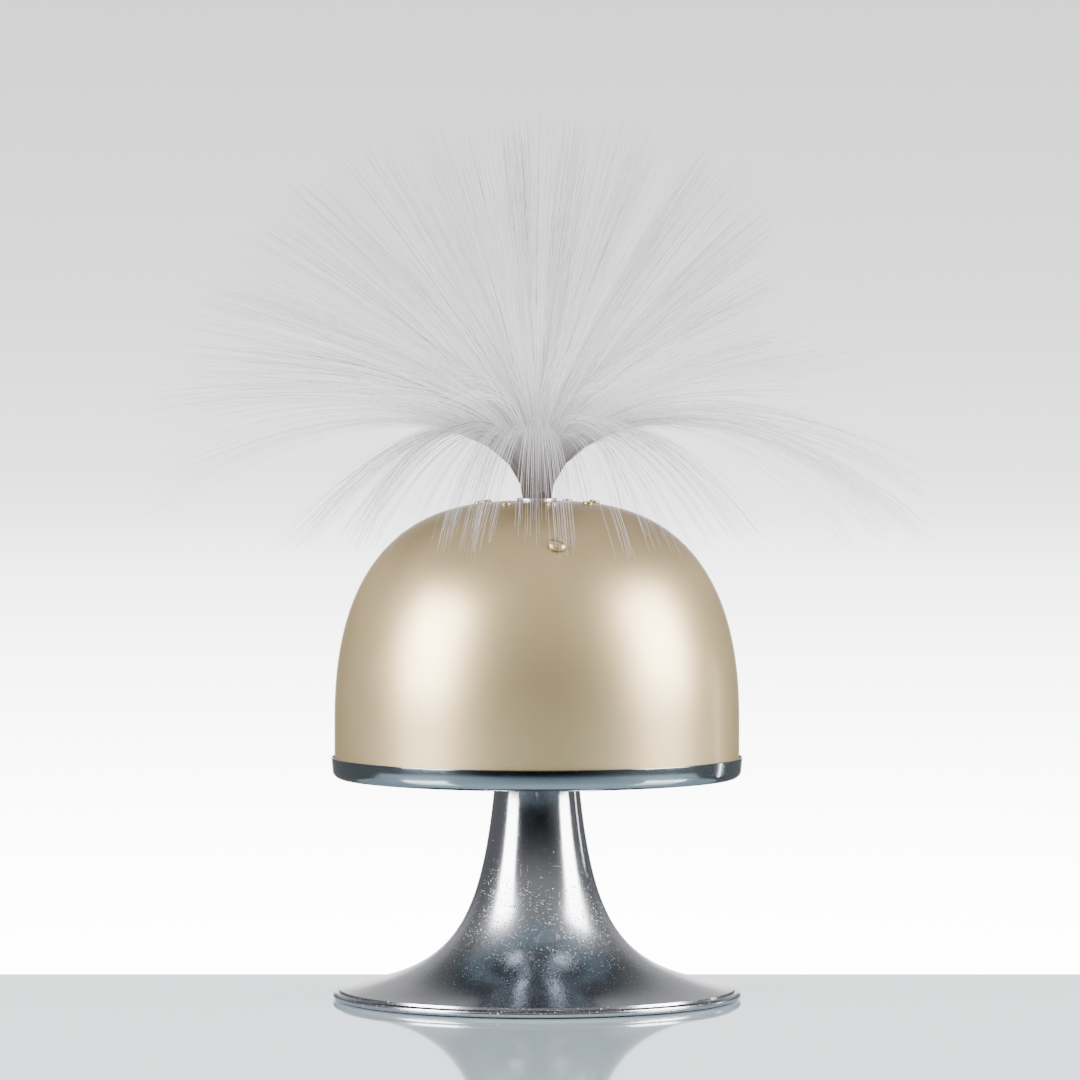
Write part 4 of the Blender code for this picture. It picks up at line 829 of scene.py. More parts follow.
def felt():
    material, tree, sockets = new_finish("felt", 0.95, 0.0, sheen_weight=0.6)
    fluff = use_group(tree, "mottle", scale=900.0)
    clouds = use_group(tree, "mottle", scale=40.0)
    base = mix_colours(tree, fluff, (0.018, 0.040, 0.024), (0.050, 0.085, 0.058))
    worn = mix_colours(tree, multiply(tree, clouds, 0.3), base, (0.07, 0.08, 0.06))
    feed(tree, sockets["Base Color"], worn)
    add_bump(tree, sockets, fluff, 0.0004)
    return material


def dyed_sheet(name, colour):
    """Dyed clear sheet, faded in streaks."""
    faded = tuple(0.75 * part + 0.06 for part in colour)
    return clouded(name, 50.0, colour, faded, 0.10, 0.24, transmission_weight=0.55)


FINISHES = {
    "steel": plated_steel(),
    "brass": turned_metal("turned_brass", (0.76, 0.60, 0.30), (0.60, 0.45, 0.20), 0.22, 0.40),
    "aluminium": turned_metal("turned_aluminium", (0.80, 0.81, 0.82), (0.66, 0.67, 0.69), 0.20, 0.38),
    "iron": clouded("cast_iron", 420.0, (0.09, 0.09, 0.10), (0.16, 0.13, 0.11), 0.62, 0.85,
                    metallic=0.6, bump=0.0003),
    "felt": felt(),
    "bakelite": clouded("dark_moulding", 90.0, (0.028, 0.018, 0.013), (0.044, 0.028, 0.020), 0.26, 0.40),
    "glass": clouded("bulb_glass", 120.0, (0.96, 0.97, 0.97), (0.88, 0.90, 0.90), 0.02, 0.10,
                     transmission_weight=0.95, ior=1.5),
    "lead": clouded("soft_insulation", 200.0, (0.80, 0.79, 0.74), (0.70, 0.68, 0.62), 0.42, 0.60),
    "red_filter": dyed_sheet("red_sheet", (0.70, 0.04, 0.04)),
    "green_filter": dyed_sheet("green_sheet", (0.04, 0.48, 0.14)),
    "blue_filter": dyed_sheet("blue_sheet", (0.04, 0.10, 0.62)),
    "amber_filter": dyed_sheet("amber_sheet", (0.88, 0.46, 0.04)),
}
print("finishes:", ", ".join(FINISHES))

# %% [markdown]
# The frame's record says which finish each node has, so the nodes that keep their own shape are
# dressed in one loop, and a new piece can be dressed by the name of the node that it stands for.

# %% Dress the CAD nodes
slots = {part["node"]: part["material_slot"] for part in frame["record"]["subparts"]}
for name, node in frame["nodes"].items():
    if slots[name] in FINISHES:
        node.data.materials.clear()
        node.data.materials.append(FINISHES[slots[name]])
print("dressed nodes:", sum(slot in FINISHES for slot in slots.values()))


def dress_as(node, piece, body="lamp"):
    """Put a piece in the place of one CAD node, with the finish that the node has."""
    dress(piece, body, slots[node], FINISHES[slots[node]], node)


def dress_copies(model, places, nodes):
    """Copy a piece to each place, and dress each copy as its node."""
    for piece, node in zip(copies(model, places, [node + "_fine" for node in nodes]), nodes):
        dress_as(node, piece)


# %% [markdown]
# ## Hollow rod, washers and nuts
# A hollow threaded rod clamps the ballast, the foot and the tray together, and the lamp holder
# screws onto its upper end. A thread could be a helix, but at a millimetre's pitch rings look the
# same and are far lighter. A nut is a six-sided bar that meets a turned blank, which leaves the
# curved chamfers on its corners.

# %% Rod, washers and nuts
BREAK = 0.0002                  # broken edge on turned parts
CUT_OVERRUN = 0.001
ROD_BORE = 0.0035
ROD_RADIUS = 0.0050
LOWER_THREAD_TOP = 0.014
UPPER_THREAD_FLOOR = 0.1062
THREAD_PITCH = 0.001
THREAD_DEPTH = 0.0004
WASHER_RADIUS = 0.0105
NUT_WIDTH = 0.0140
SOCKET_NUT_WIDTH = 0.0260


def tube_piece(name, bore, radius, low, high, edge=BREAK, sides=56):
    """A turned tube, or a turned disc where the bore is zero, with broken edges."""
    outer = [(radius - edge, low), (radius, low + edge), (radius, high - edge), (radius - edge, high)]
    if not bore:
        return turned(name, [(0, low)] + outer + [(0, high)], sides)
    inner = [(bore + edge, high), (bore, high - edge), (bore, low + edge), (bore + edge, low)]
    return turned(name, outer + inner + outer[:1], sides)


def thread(radius, low, high, pitch=THREAD_PITCH, depth=THREAD_DEPTH):
    """Points up the outside of a thread, its crests at the radius."""
    points = []
    for i in range(int((high - low) / pitch)):
        points += [(radius, low + (i + 0.25) * pitch), (radius - depth, low + (i + 0.75) * pitch)]
    return points


def hex_nut(node, across, hole, body="lamp"):
    """A chamfered nut round the lamp's axis, between the heights of its node."""
    low, high = span(node)
    corner = across / math.sqrt(3)
    blank_radius = 1.02 * corner
    flat = 0.47 * across
    fall = (blank_radius - flat) * math.tan(math.radians(30))
    blank = turned("blank", [(0, low), (flat, low), (blank_radius, low + fall),
                             (blank_radius, high - fall), (flat, high), (0, high)], 72)
    nut = start_piece(node + "_fine", bpy.ops.mesh.primitive_cylinder_add, vertices=6, radius=corner,
                      depth=high - low + 2 * BREAK, location=(0, 0, (low + high) / 2))
    cut(nut, blank, "INTERSECT")
    cut(nut, tube_piece("hole", 0, hole, low - CUT_OVERRUN, high + CUT_OVERRUN, sides=40))
    dress_as(node, nut, body)


low, high = span("threaded_rod")
smooth = ROD_RADIUS - BREAK
outline = [(ROD_BORE, low), (smooth, low)] + thread(ROD_RADIUS, low, LOWER_THREAD_TOP)
outline += [(smooth, LOWER_THREAD_TOP + BREAK), (smooth, UPPER_THREAD_FLOOR - BREAK)]
outline += thread(ROD_RADIUS, UPPER_THREAD_FLOOR, high - BREAK)
outline += [(smooth, high), (ROD_BORE, high), (ROD_BORE, low)]
dress(turned("clamping_rod", outline, 40), "lamp", "steel", FINISHES["steel"], "threaded_rod")

for node in ("rod_washer", "tray_washer"):
    dress_as(node, tube_piece(node + "_fine", ROD_HOLE, WASHER_RADIUS, *span(node)))

hex_nut("rod_nut", NUT_WIDTH, ROD_HOLE)
hex_nut("tray_nut", NUT_WIDTH, ROD_HOLE)
hex_nut("socket_nut", SOCKET_NUT_WIDTH, SOCKET_HOLE, "dome")

# %% [markdown]
# ## Pillars, deck and their screws
# Three pillars stand in the tray and carry the deck, a sheet ring round the bulb that also holds the
# motor. One pillar and one screw are turned on the axis and copied to their places. No two screws
# end up with their slots the same way.

# %% Pillars, deck and screws
PILLAR_RADIUS = 0.0035
SCREW_HOLE = 0.0018
SCREW_HEAD = 0.0030
SCREW_RISE = 0.0020
SCREW_SHANK = 0.0015
SCREW_LENGTH = 0.0075
FIRST_SLOT_TURN = 0.7
SLOT_TURN_STEP = 1.9            # from one screw's slot to the next
DECK_BORE = 0.0230
DECK_RADIUS = 0.0740
SHAFT_HOLE = 0.0040


def middle_of(node):
    """A place on the upright line through the middle of a node, at height zero."""
    low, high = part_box(node)
    return Matrix.Translation(((low.x + high.x) / 2, (low.y + high.y) / 2, 0))


low, high = span("pillar_1")
outline = [(0, high - SCREW_LENGTH), (SCREW_HOLE, high - SCREW_LENGTH), (SCREW_HOLE, high),
           (PILLAR_RADIUS - BREAK, high), (PILLAR_RADIUS, high - BREAK),
           (PILLAR_RADIUS, low + BREAK), (PILLAR_RADIUS - BREAK, low),
           (SCREW_HOLE, low), (SCREW_HOLE, low + SCREW_LENGTH), (0, low + SCREW_LENGTH)]
pillars = [f"pillar_{i}" for i in (1, 2, 3)]
pillar_places = [middle_of(node) for node in pillars]
dress_copies(turned("pillar", outline, 40), pillar_places, pillars)

upside_down = Matrix.Rotation(math.pi, 4, "X")
motor_screws = ["motor_screw_1", "motor_screw_2"]
screw_nodes = [f"pillar_head_screw_{i}" for i in (1, 2, 3)] + motor_screws
screw_nodes += [f"pillar_foot_screw_{i}" for i in (1, 2, 3)]
screw_places = []
for i, node in enumerate(screw_nodes):
    low, high = span(node)
    way = lift(low + SCREW_RISE) @ upside_down if "foot" in node else lift(high - SCREW_RISE)
    turn = Matrix.Rotation(FIRST_SLOT_TURN + SLOT_TURN_STEP * i, 4, "Z")
    screw_places.append(middle_of(node) @ way @ turn)
screw = round_head_screw("machine_screw", SCREW_HEAD, SCREW_RISE, SCREW_SHANK, SCREW_LENGTH)
dress_copies(screw, screw_places, screw_nodes)

deck_low, deck_high = span("deck")
deck = tube_piece("deck_ring", DECK_BORE, DECK_RADIUS, deck_low, deck_high, sides=128)
deck_middle = lift((deck_low + deck_high) / 2)
ear_places = [middle_of(node) for node in motor_screws]
drill(deck, [deck_middle @ place for place in pillar_places + ear_places], SCREW_HOLE)
drill(deck, [deck_middle @ middle_of("motor_shaft")], SHAFT_HOLE)
dress_as("deck", deck)

# %% [markdown]
# ## Motor
# A small geared motor hangs under the deck on two ears: a drawn steel can with a rounded bottom edge
# and a crimp at its top, and a flat brass gearbox over it. The ears are a bevelled block that is
# joined to the turned gearbox.

# %% Motor
MOTOR_RADIUS = 0.0240
CAN_CORNER = 0.0025
CRIMP = 0.0007
DISH_RADIUS = 0.0052            # of the shallow dish in the can's floor
DISH_SLOPE = 0.0006
GEARBOX_RADIUS = 0.0245
GEARBOX_CORNER = 0.001
GEARBOX_EDGE = 0.0005
EAR_THICKNESS = 0.0016
EAR_HALF_WIDTH = 0.00475
SHAFT_BORE = 0.0023
POCKET_MIDDLE = 0.0025          # of the shaft's pocket, under the gearbox's top
POCKET_LENGTH = 0.0056
motor_middle = middle_of("motor_can")
can_low, can_high = span("motor_can")
outline = [(0, can_low + CRIMP), (DISH_RADIUS - DISH_SLOPE, can_low + CRIMP), (DISH_RADIUS, can_low)]
outline += quarter((MOTOR_RADIUS - CAN_CORNER, can_low + CAN_CORNER), CAN_CORNER, -90, 0, 8)
outline += [(MOTOR_RADIUS, can_high - 4 * CRIMP), (MOTOR_RADIUS - CRIMP, can_high - 3 * CRIMP)]
outline += [(MOTOR_RADIUS - CRIMP, can_high - 2 * CRIMP), (MOTOR_RADIUS, can_high - CRIMP)]
outline += [(MOTOR_RADIUS - BREAK, can_high), (0, can_high)]
can = turned("motor_can_fine", outline, 80)
can.data.transform(motor_middle)
dress_as("motor_can", can)

low, high = span("motor_gearbox")
outline = [(0, low)]
outline += quarter((GEARBOX_RADIUS - GEARBOX_CORNER, low + GEARBOX_CORNER), GEARBOX_CORNER, -90, 0, 5)
outline += quarter((GEARBOX_RADIUS - GEARBOX_EDGE, high - GEARBOX_EDGE), GEARBOX_EDGE, 0, 90, 4)
gearbox = turned("gearbox_fine", outline + [(0, high)], 80)
gearbox.data.transform(motor_middle)
ear_low, ear_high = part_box("motor_gearbox")
motor_y = motor_middle.translation.y
cut(gearbox, block("ears", (ear_low.x, motor_y - EAR_HALF_WIDTH, high - EAR_THICKNESS),
                   (ear_high.x, motor_y + EAR_HALF_WIDTH, high), bevel=GEARBOX_EDGE), "UNION")
ear_middle = lift((deck_high - deck_low) / 2 + high)
drill(gearbox, [place @ ear_middle for place in ear_places], SCREW_HOLE, LONG_DRILL_LENGTH)
drill(gearbox, [middle_of("motor_shaft") @ lift(high - POCKET_MIDDLE)], SHAFT_BORE, POCKET_LENGTH)
dress_as("motor_gearbox", gearbox)

# %% [markdown]
# The lead between holder and motor is soft insulated wire. It is a curve with a round bevel, bowed
# clear of the bulb's hole, and its ends go into the holder and the can. Four points set its path:
# both ends, and where it would run to if it left each end straight.

# %% Motor lead
HOLDER_RADIUS = 0.0140
LEAD_RADIUS = 0.0016
LEAD_POINTS = 40
LEAD_ENTRY_DROP = 0.0120        # of the lead's entry, under the holder's top
LEAD_SOCKET_DEPTH = 0.0020
LEAD_START_PULL = 0.045
LEAD_END_PULL = 0.015
holder_low, holder_high = span("lamp_holder")
lead_start = Vector((-HOLDER_RADIUS + LEAD_SOCKET_DEPTH, 0, holder_high - LEAD_ENTRY_DROP))
lead_end = Vector((-MOTOR_RADIUS - SEAT_GAP, motor_y, (can_low + can_high) / 2))
lead_shape = [lead_start, lead_start - Vector((LEAD_START_PULL, 0, 0)),
              lead_end - Vector((LEAD_END_PULL, 0, 0)), lead_end]


def round_curve(name, radius, resolution):
    """An empty curve with a round body."""
    curve = bpy.data.curves.new(name, "CURVE")
    curve.dimensions = "3D"
    curve.bevel_depth = radius
    curve.bevel_resolution = resolution
    return curve


def mesh_of(curve, end_sides=0):
    """A curve's body as a mesh, its ends closed where they have no more than this many sides."""
    piece = bpy.data.objects.new(curve.name, curve)
    bpy.context.scene.collection.objects.link(piece)
    select_only(piece)
    bpy.ops.object.convert(target="MESH")
    bpy.ops.object.mode_set(mode="EDIT")
    bpy.ops.mesh.select_all(action="SELECT")
    bpy.ops.mesh.fill_holes(sides=end_sides)
    bpy.ops.mesh.select_all(action="SELECT")
    bpy.ops.mesh.normals_make_consistent(inside=False)
    bpy.ops.object.mode_set(mode="OBJECT")
    return bpy.context.object


def wire(name, path, radius, resolution=3):
    """A round wire along a list of points, as a mesh with closed ends."""
    curve = round_curve(name, radius, resolution)
    line = curve.splines.new("POLY")
    line.points.add(len(path) - 1)
    for point, place in zip(line.points, path):
        point.co = (*place, 1)
    piece = mesh_of(curve)
    bpy.ops.object.shade_smooth_by_angle(angle=math.radians(40))
    return piece


def bend(shape, share):
    """Point at a share of the way along a curve that four points shape."""
    a, b, c, d = shape
    rest = 1 - share
    return a * rest ** 3 + b * 3 * share * rest ** 2 + c * 3 * share ** 2 * rest + d * share ** 3


path = [bend(lead_shape, i / (LEAD_POINTS - 1)) for i in range(LEAD_POINTS)]
dress_as("motor_lead", wire("lead_wire", path, LEAD_RADIUS))

# %% [markdown]
# ## Lamp holder and bulb
# The holder is a dark moulding with two grip grooves and a chamfered mouth, turned as one outline
# and drilled for the lead.

# %% Lamp holder
MOUTH_CHAMFER = 0.0006
HOLDER_EDGE = 0.0008
SHOULDER_RISE = 0.0046
GROOVE_DROPS = (0.0050, 0.0075)
GROOVE_DEPTH = 0.0006
GROOVE_SLOPE = 0.0004
GROOVE_WIDTH = 0.0010
HOLDER_BOSS = 0.0090
HOLDER_WEB = 0.0028
FLUE = 0.0025
LEAD_HOLE_LENGTH = 0.0050
LEAD_HOLE_SHIFT = -0.0023       # of its middle, from the lead's end
CAP_RADIUS = 0.0070
cap_low, cap_high = span("bulb_cap")
bore = CAP_RADIUS + SEAT_GAP
web_top = cap_low - SEAT_GAP
web_low = web_top - HOLDER_WEB
groove_radius = HOLDER_RADIUS - GROOVE_DEPTH

outline = [(bore, holder_high - MOUTH_CHAMFER), (bore + MOUTH_CHAMFER, holder_high)]
outline += [(HOLDER_RADIUS - HOLDER_EDGE, holder_high), (HOLDER_RADIUS, holder_high - HOLDER_EDGE)]
outline.append((HOLDER_RADIUS, holder_high - GROOVE_DROPS[0]))
for drop in GROOVE_DROPS:
    groove = holder_high - drop - GROOVE_SLOPE
    outline += [(groove_radius, groove), (groove_radius, groove - GROOVE_WIDTH),
                (HOLDER_RADIUS, groove - GROOVE_WIDTH - GROOVE_SLOPE)]
outline += [(HOLDER_RADIUS, holder_low + SHOULDER_RISE),
            (HOLDER_RADIUS - MOUTH_CHAMFER, holder_low + SHOULDER_RISE - HOLDER_EDGE)]
outline += [(HOLDER_BOSS, holder_low), (ROD_HOLE, holder_low), (ROD_HOLE, web_low), (FLUE, web_low)]
outline += [(FLUE, web_top), (bore, web_top), outline[0]]
holder = turned("holder_moulding", outline, 72)
lead_hole = Matrix.Translation(lead_start) @ Matrix.Rotation(math.pi / 2, 4, "Y") @ lift(LEAD_HOLE_SHIFT)
drill(holder, [lead_hole], LEAD_RADIUS + SEAT_GAP, LEAD_HOLE_LENGTH)
dress_as("lamp_holder", holder)

# %% [markdown]
# The bulb has a threaded brass cap and a clear pear of thin glass. The glass is turned coarsely with
# its wall and then smoothed with a Subdivision Surface modifier, as a glassblower's shapes have no
# corners.

# %% Bulb
CAP_TIP = 0.0025
CAP_TIP_RISE = 0.0015
CAP_SHOULDER_RISE = 0.0050
CAP_THREAD_PITCH = 0.0028
CAP_THREAD_DEPTH = 0.0006
CAP_COLLAR_DROP = 0.0020
CAP_COLLAR_SETBACK = 0.0004
BULB_RADIUS = 0.0195
BULB_NECK = 0.0067
BULB_GLASS = 0.0009
GLASS_EDGE = 0.0003
# (share of the bulb's radius, share of the glass's rise), from the crown down
PEAR_SHARES = ((0.0, 1.0), (0.34, 0.998), (0.64, 0.985), (0.88, 0.945), (1.0, 0.86), (1.0, 0.74),
               (0.90, 0.56), (0.72, 0.34), (0.52, 0.15), (0.38, 0.04))
collar_radius = CAP_RADIUS - CAP_COLLAR_SETBACK
outline = [(0, cap_low), (CAP_TIP - BREAK, cap_low), (CAP_TIP, cap_low + BREAK)]
outline += [(CAP_TIP, cap_low + CAP_TIP_RISE), (CAP_RADIUS - CAP_THREAD_DEPTH, cap_low + CAP_SHOULDER_RISE)]
outline += thread(CAP_RADIUS, cap_low + CAP_SHOULDER_RISE + BREAK, cap_high - CAP_COLLAR_DROP - BREAK,
                  CAP_THREAD_PITCH, CAP_THREAD_DEPTH)
outline += [(collar_radius, cap_high - CAP_COLLAR_DROP), (collar_radius, cap_high), (0, cap_high)]
dress_as("bulb_cap", turned("bulb_cap_fine", outline, 56))

glass_low, glass_high = span("bulb_glass")
neck_top = holder_high + SEAT_GAP
rise = glass_high - neck_top
outer = [(BULB_RADIUS * across, neck_top + rise * up) for across, up in PEAR_SHARES]
outer += [(BULB_NECK, neck_top), (BULB_NECK, glass_low + GLASS_EDGE)]
outer.append((BULB_NECK - GLASS_EDGE / 3, glass_low))
inner = [(max(across - BULB_GLASS, 0), min(up, glass_high - BULB_GLASS)) for across, up in reversed(outer)]
glass = turned("bulb_pear", outer + inner, 24)
smoothing = glass.modifiers.new("Smoothing", "SUBSURF")
smoothing.levels = 2
smoothing.render_levels = 2
bpy.ops.object.modifier_apply(modifier="Smoothing")
bpy.ops.object.shade_smooth()
dress_as("bulb_glass", glass)

# %% [markdown]
# Inside the glass a coil of fine wire hangs between two stiff legs. It is one path of points, up the
# first leg, along the coil and down the second leg, and gets a round body as the lead did.

# %% Filament
FILAMENT_HEIGHT = 0.170
FILAMENT_SPAN = 0.0055
FILAMENT_RADIUS = 0.00016
COIL_RADIUS = 0.0004
COIL_TURNS = 14
TURN_POINTS = 8
LEG_SPREAD = 0.002
LEG_FOOT_RISE = 0.0006
LEG_TOP_DROP = 0.012            # below the coil, where a leg starts to slant out to the coil's end


def leg(side):
    low, high = glass_low + LEG_FOOT_RISE, FILAMENT_HEIGHT - LEG_TOP_DROP
    return [Vector((side * LEG_SPREAD, 0, low)), Vector((side * LEG_SPREAD, 0, high))]


coil = []
for i in range(COIL_TURNS * TURN_POINTS + 1):
    swing = math.tau * i / TURN_POINTS
    coil.append(Vector((FILAMENT_SPAN * (2 * i / (COIL_TURNS * TURN_POINTS) - 1),
                        COIL_RADIUS * math.cos(swing), FILAMENT_HEIGHT + COIL_RADIUS * math.sin(swing))))
filament = wire("filament", leg(-1) + coil + leg(1)[::-1], FILAMENT_RADIUS, 1)
dress(filament, "lamp", "steel", FINISHES["steel"])

# %% [markdown]
# ## Colour wheel
# The wheel is a pierced aluminium disc with four dyed sheets, clamped to the motor's shaft between a
# brass hub and a brass cap. The openings and the sheets are quarter rings, made by turning a small
# rectangle less than a full circle, and copied round the shaft.

# %% Colour wheel
SHAFT_RADIUS = 0.0020
HUB_RADIUS = 0.0060
HUB_EDGE = 0.0004
CAP_FLANGE_RADIUS = 0.0100
CAP_CROWN_RADIUS = 0.0062
CAP_CROWN_CORNER = 0.0012
CAP_WALL = 0.0010               # of the wheel's cap: its flange and its roof
WINDOW_INNER = 0.0085
WHEEL_RIM = 0.0030
WHEEL_SPOKE = 0.0030
FILTER_LAP = 0.0012
FILTER_SPLIT = 0.0006
FILTERS = 4
shaft_middle = middle_of("motor_shaft")
wheel_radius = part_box("wheel_frame")[1].x
window_outer = wheel_radius - WHEEL_RIM


def quarter_ring(name, inner, outer, low, high, split):
    """A quarter of a flat ring, from +X toward +Y, less half the split on both of its sides."""
    half_split = split / (inner + outer)
    outline = [(inner, low), (outer, low), (outer, high), (inner, high), (inner, low)]
    piece = turned(name, outline, 28, math.tau / FILTERS - 2 * half_split)
    low_turn = min(math.atan2(v.co.y, v.co.x) for v in piece.data.vertices)
    piece.data.transform(Matrix.Rotation(half_split - low_turn, 4, "Z"))
    return piece


def on_shaft(node, piece):
    """Move a piece from the lamp's axis to the shaft's, and dress it as a node of the wheel."""
    piece.data.transform(shaft_middle)
    dress_as(node, piece, "colour_wheel")


low, high = span("wheel_frame")
wheel = tube_piece("wheel_disc", SHAFT_BORE, wheel_radius, low, high, sides=128)
window = quarter_ring("window", WINDOW_INNER, window_outer, low - CUT_OVERRUN, high + CUT_OVERRUN,
                      WHEEL_SPOKE)
for cutter in copies(window, turns_round(FILTERS), [f"window_{i}" for i in range(FILTERS)]):
    cut(wheel, cutter)
on_shaft("wheel_frame", wheel)

low, high = span("colour_filter_1")
sheet = quarter_ring("sheet", WINDOW_INNER - FILTER_LAP, window_outer + FILTER_LAP, low, high, FILTER_SPLIT)
sheets = copies(sheet, turns_round(FILTERS), [f"dyed_sheet_{i + 1}" for i in range(FILTERS)])
for i, piece in enumerate(sheets):
    on_shaft(f"colour_filter_{i + 1}", piece)

low, high = span("wheel_cap")
outline = [(SHAFT_BORE, low), (CAP_FLANGE_RADIUS - BREAK, low), (CAP_FLANGE_RADIUS, low + BREAK)]
outline += [(CAP_FLANGE_RADIUS, low + CAP_WALL - BREAK), (CAP_FLANGE_RADIUS - BREAK, low + CAP_WALL)]
outline += quarter((CAP_CROWN_RADIUS, high - CAP_CROWN_CORNER), CAP_CROWN_CORNER, 25, 90, 6)
outline += [(0, high), (0, high - CAP_WALL), (SHAFT_BORE, high - CAP_WALL), (SHAFT_BORE, low)]
on_shaft("wheel_cap", turned("wheel_cap_fine", outline, 56))
hub = tube_piece("wheel_hub_fine", SHAFT_BORE, HUB_RADIUS, *span("wheel_hub"), edge=HUB_EDGE)
on_shaft("wheel_hub", hub)
on_shaft("motor_shaft", tube_piece("shaft", 0, SHAFT_RADIUS, *span("motor_shaft"), sides=32))

# %% [markdown]
# ## Socket sleeve and cord bush
# The sleeve hangs in the dome's top hole and guides the ferrule. It has a thread for its nut and a
# flange at its foot. The bush lines the notch in the foot's rim, and is a small bevelled block with
# a rounded slot through it.

# %% Sleeve and bush
SLEEVE_BORE = 0.0086
SLEEVE_RADIUS = 0.0098
SLEEVE_THREAD_RISE = 0.0016     # from the sleeve's foot up to its thread
SLEEVE_THREAD_DROP = 0.0030     # from its top down to its thread
FLANGE_RADIUS = 0.0138
FLANGE_THICKNESS = 0.0014
low, high = span("socket_sleeve")
flange_top = low + FLANGE_THICKNESS
outline = [(SLEEVE_BORE, low), (FLANGE_RADIUS - BREAK, low), (FLANGE_RADIUS, low + BREAK)]
outline += [(FLANGE_RADIUS, flange_top - BREAK), (FLANGE_RADIUS - BREAK, flange_top)]
outline.append((SLEEVE_RADIUS - THREAD_DEPTH, flange_top))
outline += thread(SLEEVE_RADIUS, low + SLEEVE_THREAD_RISE, high - SLEEVE_THREAD_DROP)
outline += [(SLEEVE_RADIUS, high - SLEEVE_THREAD_DROP + BREAK), (SLEEVE_RADIUS, high - BREAK)]
outline += [(SLEEVE_RADIUS - BREAK, high), (SLEEVE_BORE, high), (SLEEVE_BORE, low)]
dress_as("socket_sleeve", turned("sleeve_fine", outline, 72), "dome")

CORD_SLOT = Vector((0.0060, 0, 0.0032))
CORD_SLOT_ROUND = 0.0012
BUSH_EDGE = 0.0007
through = Vector((0, 0.02, 0))
centre = (bush_low + bush_high) / 2
bush = block("bush_fine", bush_low, bush_high, bevel=BUSH_EDGE, segments=3)
cut(bush, block("cord_slot", centre - CORD_SLOT / 2 - through, centre + CORD_SLOT / 2 + through,
                bevel=CORD_SLOT_ROUND, segments=4))
dress_as("cord_inlet_bush", bush)

# %% [markdown]
# ## Fibre spray
# Several thousand thin fibres leave the dome in one round bundle. The stiff fibres spread like
# the seeds of a dandelion: the middle ones stand up, the outer ones bend outward within 40 mm of the
# dome, and the outermost droop under their own weight. Neighbours cling together toward their tips,
# so the spray ends in many pointed tufts. First every fibre gets its place in the bundle, and the
# tuft that it belongs to. Places are spread evenly over a disc by the golden angle, as in a
# sunflower.

# %% Bundle and tufts
FIBRES = 3900
TUFTS = 190
TUFT_SCATTER = 0.12             # of the tufts' angles, either way
GOLDEN_ANGLE = math.pi * (3 - math.sqrt(5))
dice = np.random.default_rng(7)

share = np.sqrt((np.arange(FIBRES) + 0.5) / FIBRES)
turn = np.arange(FIBRES) * GOLDEN_ANGLE
tuft_share = np.sqrt((np.arange(TUFTS) + 0.5) / TUFTS)
tuft_turn = np.arange(TUFTS) * GOLDEN_ANGLE + dice.uniform(-TUFT_SCATTER, TUFT_SCATTER, TUFTS)


def round_axis(radius, turn, *height):
    """Places at a radius and an angle round the axis, flat ones or with a height."""
    return np.stack([radius * np.cos(turn), radius * np.sin(turn), *height], axis=1)


# Each fibre belongs to the tuft whose place in the bundle is nearest
apart = round_axis(share, turn)[:, None] - round_axis(tuft_share, tuft_turn)[None]
tuft = np.argmin((apart ** 2).sum(axis=2), axis=1)
turn_to_tuft = (tuft_turn[tuft] - turn + math.pi) % math.tau - math.pi
print("fibres in a tuft, fewest and most:", np.bincount(tuft).min(), np.bincount(tuft).max())

# %% [markdown]
# Most outer tufts fall steeply round the neck as a skirt. Two locks, one to the right and one to the
# left, hang out at the sides instead. A tuft leans and droops as one, and its fibres differ only a
# little.

# %% Tufts that fall, and the two locks
SKIRT_FROM = 0.86               # tufts outside this share of the bundle may fall as a skirt
SKIRT_CHANCE = 0.74
SKIRT_LENGTH_SHARE = (0.60, 0.90)
SKIRT_DROOP = (math.radians(78), math.radians(34))      # of the shortest and the longest
EVEN_DROOP = math.radians(14)   # of the outermost tufts that neither fall nor are locks
LOCK_DROOP = math.radians(46)
LEFT_LOCK_SHARE = 0.5           # the left lock droops less
RIGHT_LOCK_FROM = 0.80          # cosine of the angle within which a tuft is in the lock
LEFT_LOCK_FROM = 0.90

tuft_lean = dice.normal(0, math.radians(3.5), TUFTS)
tuft_length = dice.normal(1.0, 0.030, TUFTS)
tuft_right = np.cos(tuft_turn)
tuft_outer = tuft_share > SKIRT_FROM
tuft_locks = tuft_outer & ((tuft_right > RIGHT_LOCK_FROM) | (tuft_right < -LEFT_LOCK_FROM))
tuft_falls = tuft_outer & (dice.random(TUFTS) < SKIRT_CHANCE) & ~tuft_locks
even_droop = EVEN_DROOP * tuft_share * dice.uniform(0.5, 1.4, TUFTS)
lock_droop = LOCK_DROOP * np.where(tuft_right > 0, 1.0, LEFT_LOCK_SHARE) * dice.uniform(0.7, 1.15, TUFTS)
skirt_share = dice.uniform(*SKIRT_LENGTH_SHARE, TUFTS)
skirt_droop = np.interp(skirt_share, SKIRT_LENGTH_SHARE, SKIRT_DROOP) * dice.uniform(0.85, 1.15, TUFTS)
tuft_droop = np.where(tuft_falls, skirt_droop, np.where(tuft_locks, lock_droop, even_droop))
tuft_length = np.where(tuft_falls, tuft_length * skirt_share, tuft_length)
print("tufts:", int(tuft_falls.sum()), "fall and", int(tuft_locks.sum()), "are in the locks")

# %% [markdown]
# A fibre's length grows from the middle of the bundle outward. The half-upright fibres on the right
# are broken shorter, and the outer ones toward both sides are longer. Only the two locks may reach
# the lamp's full width; the others end at uneven distances, so no cut edge shows.

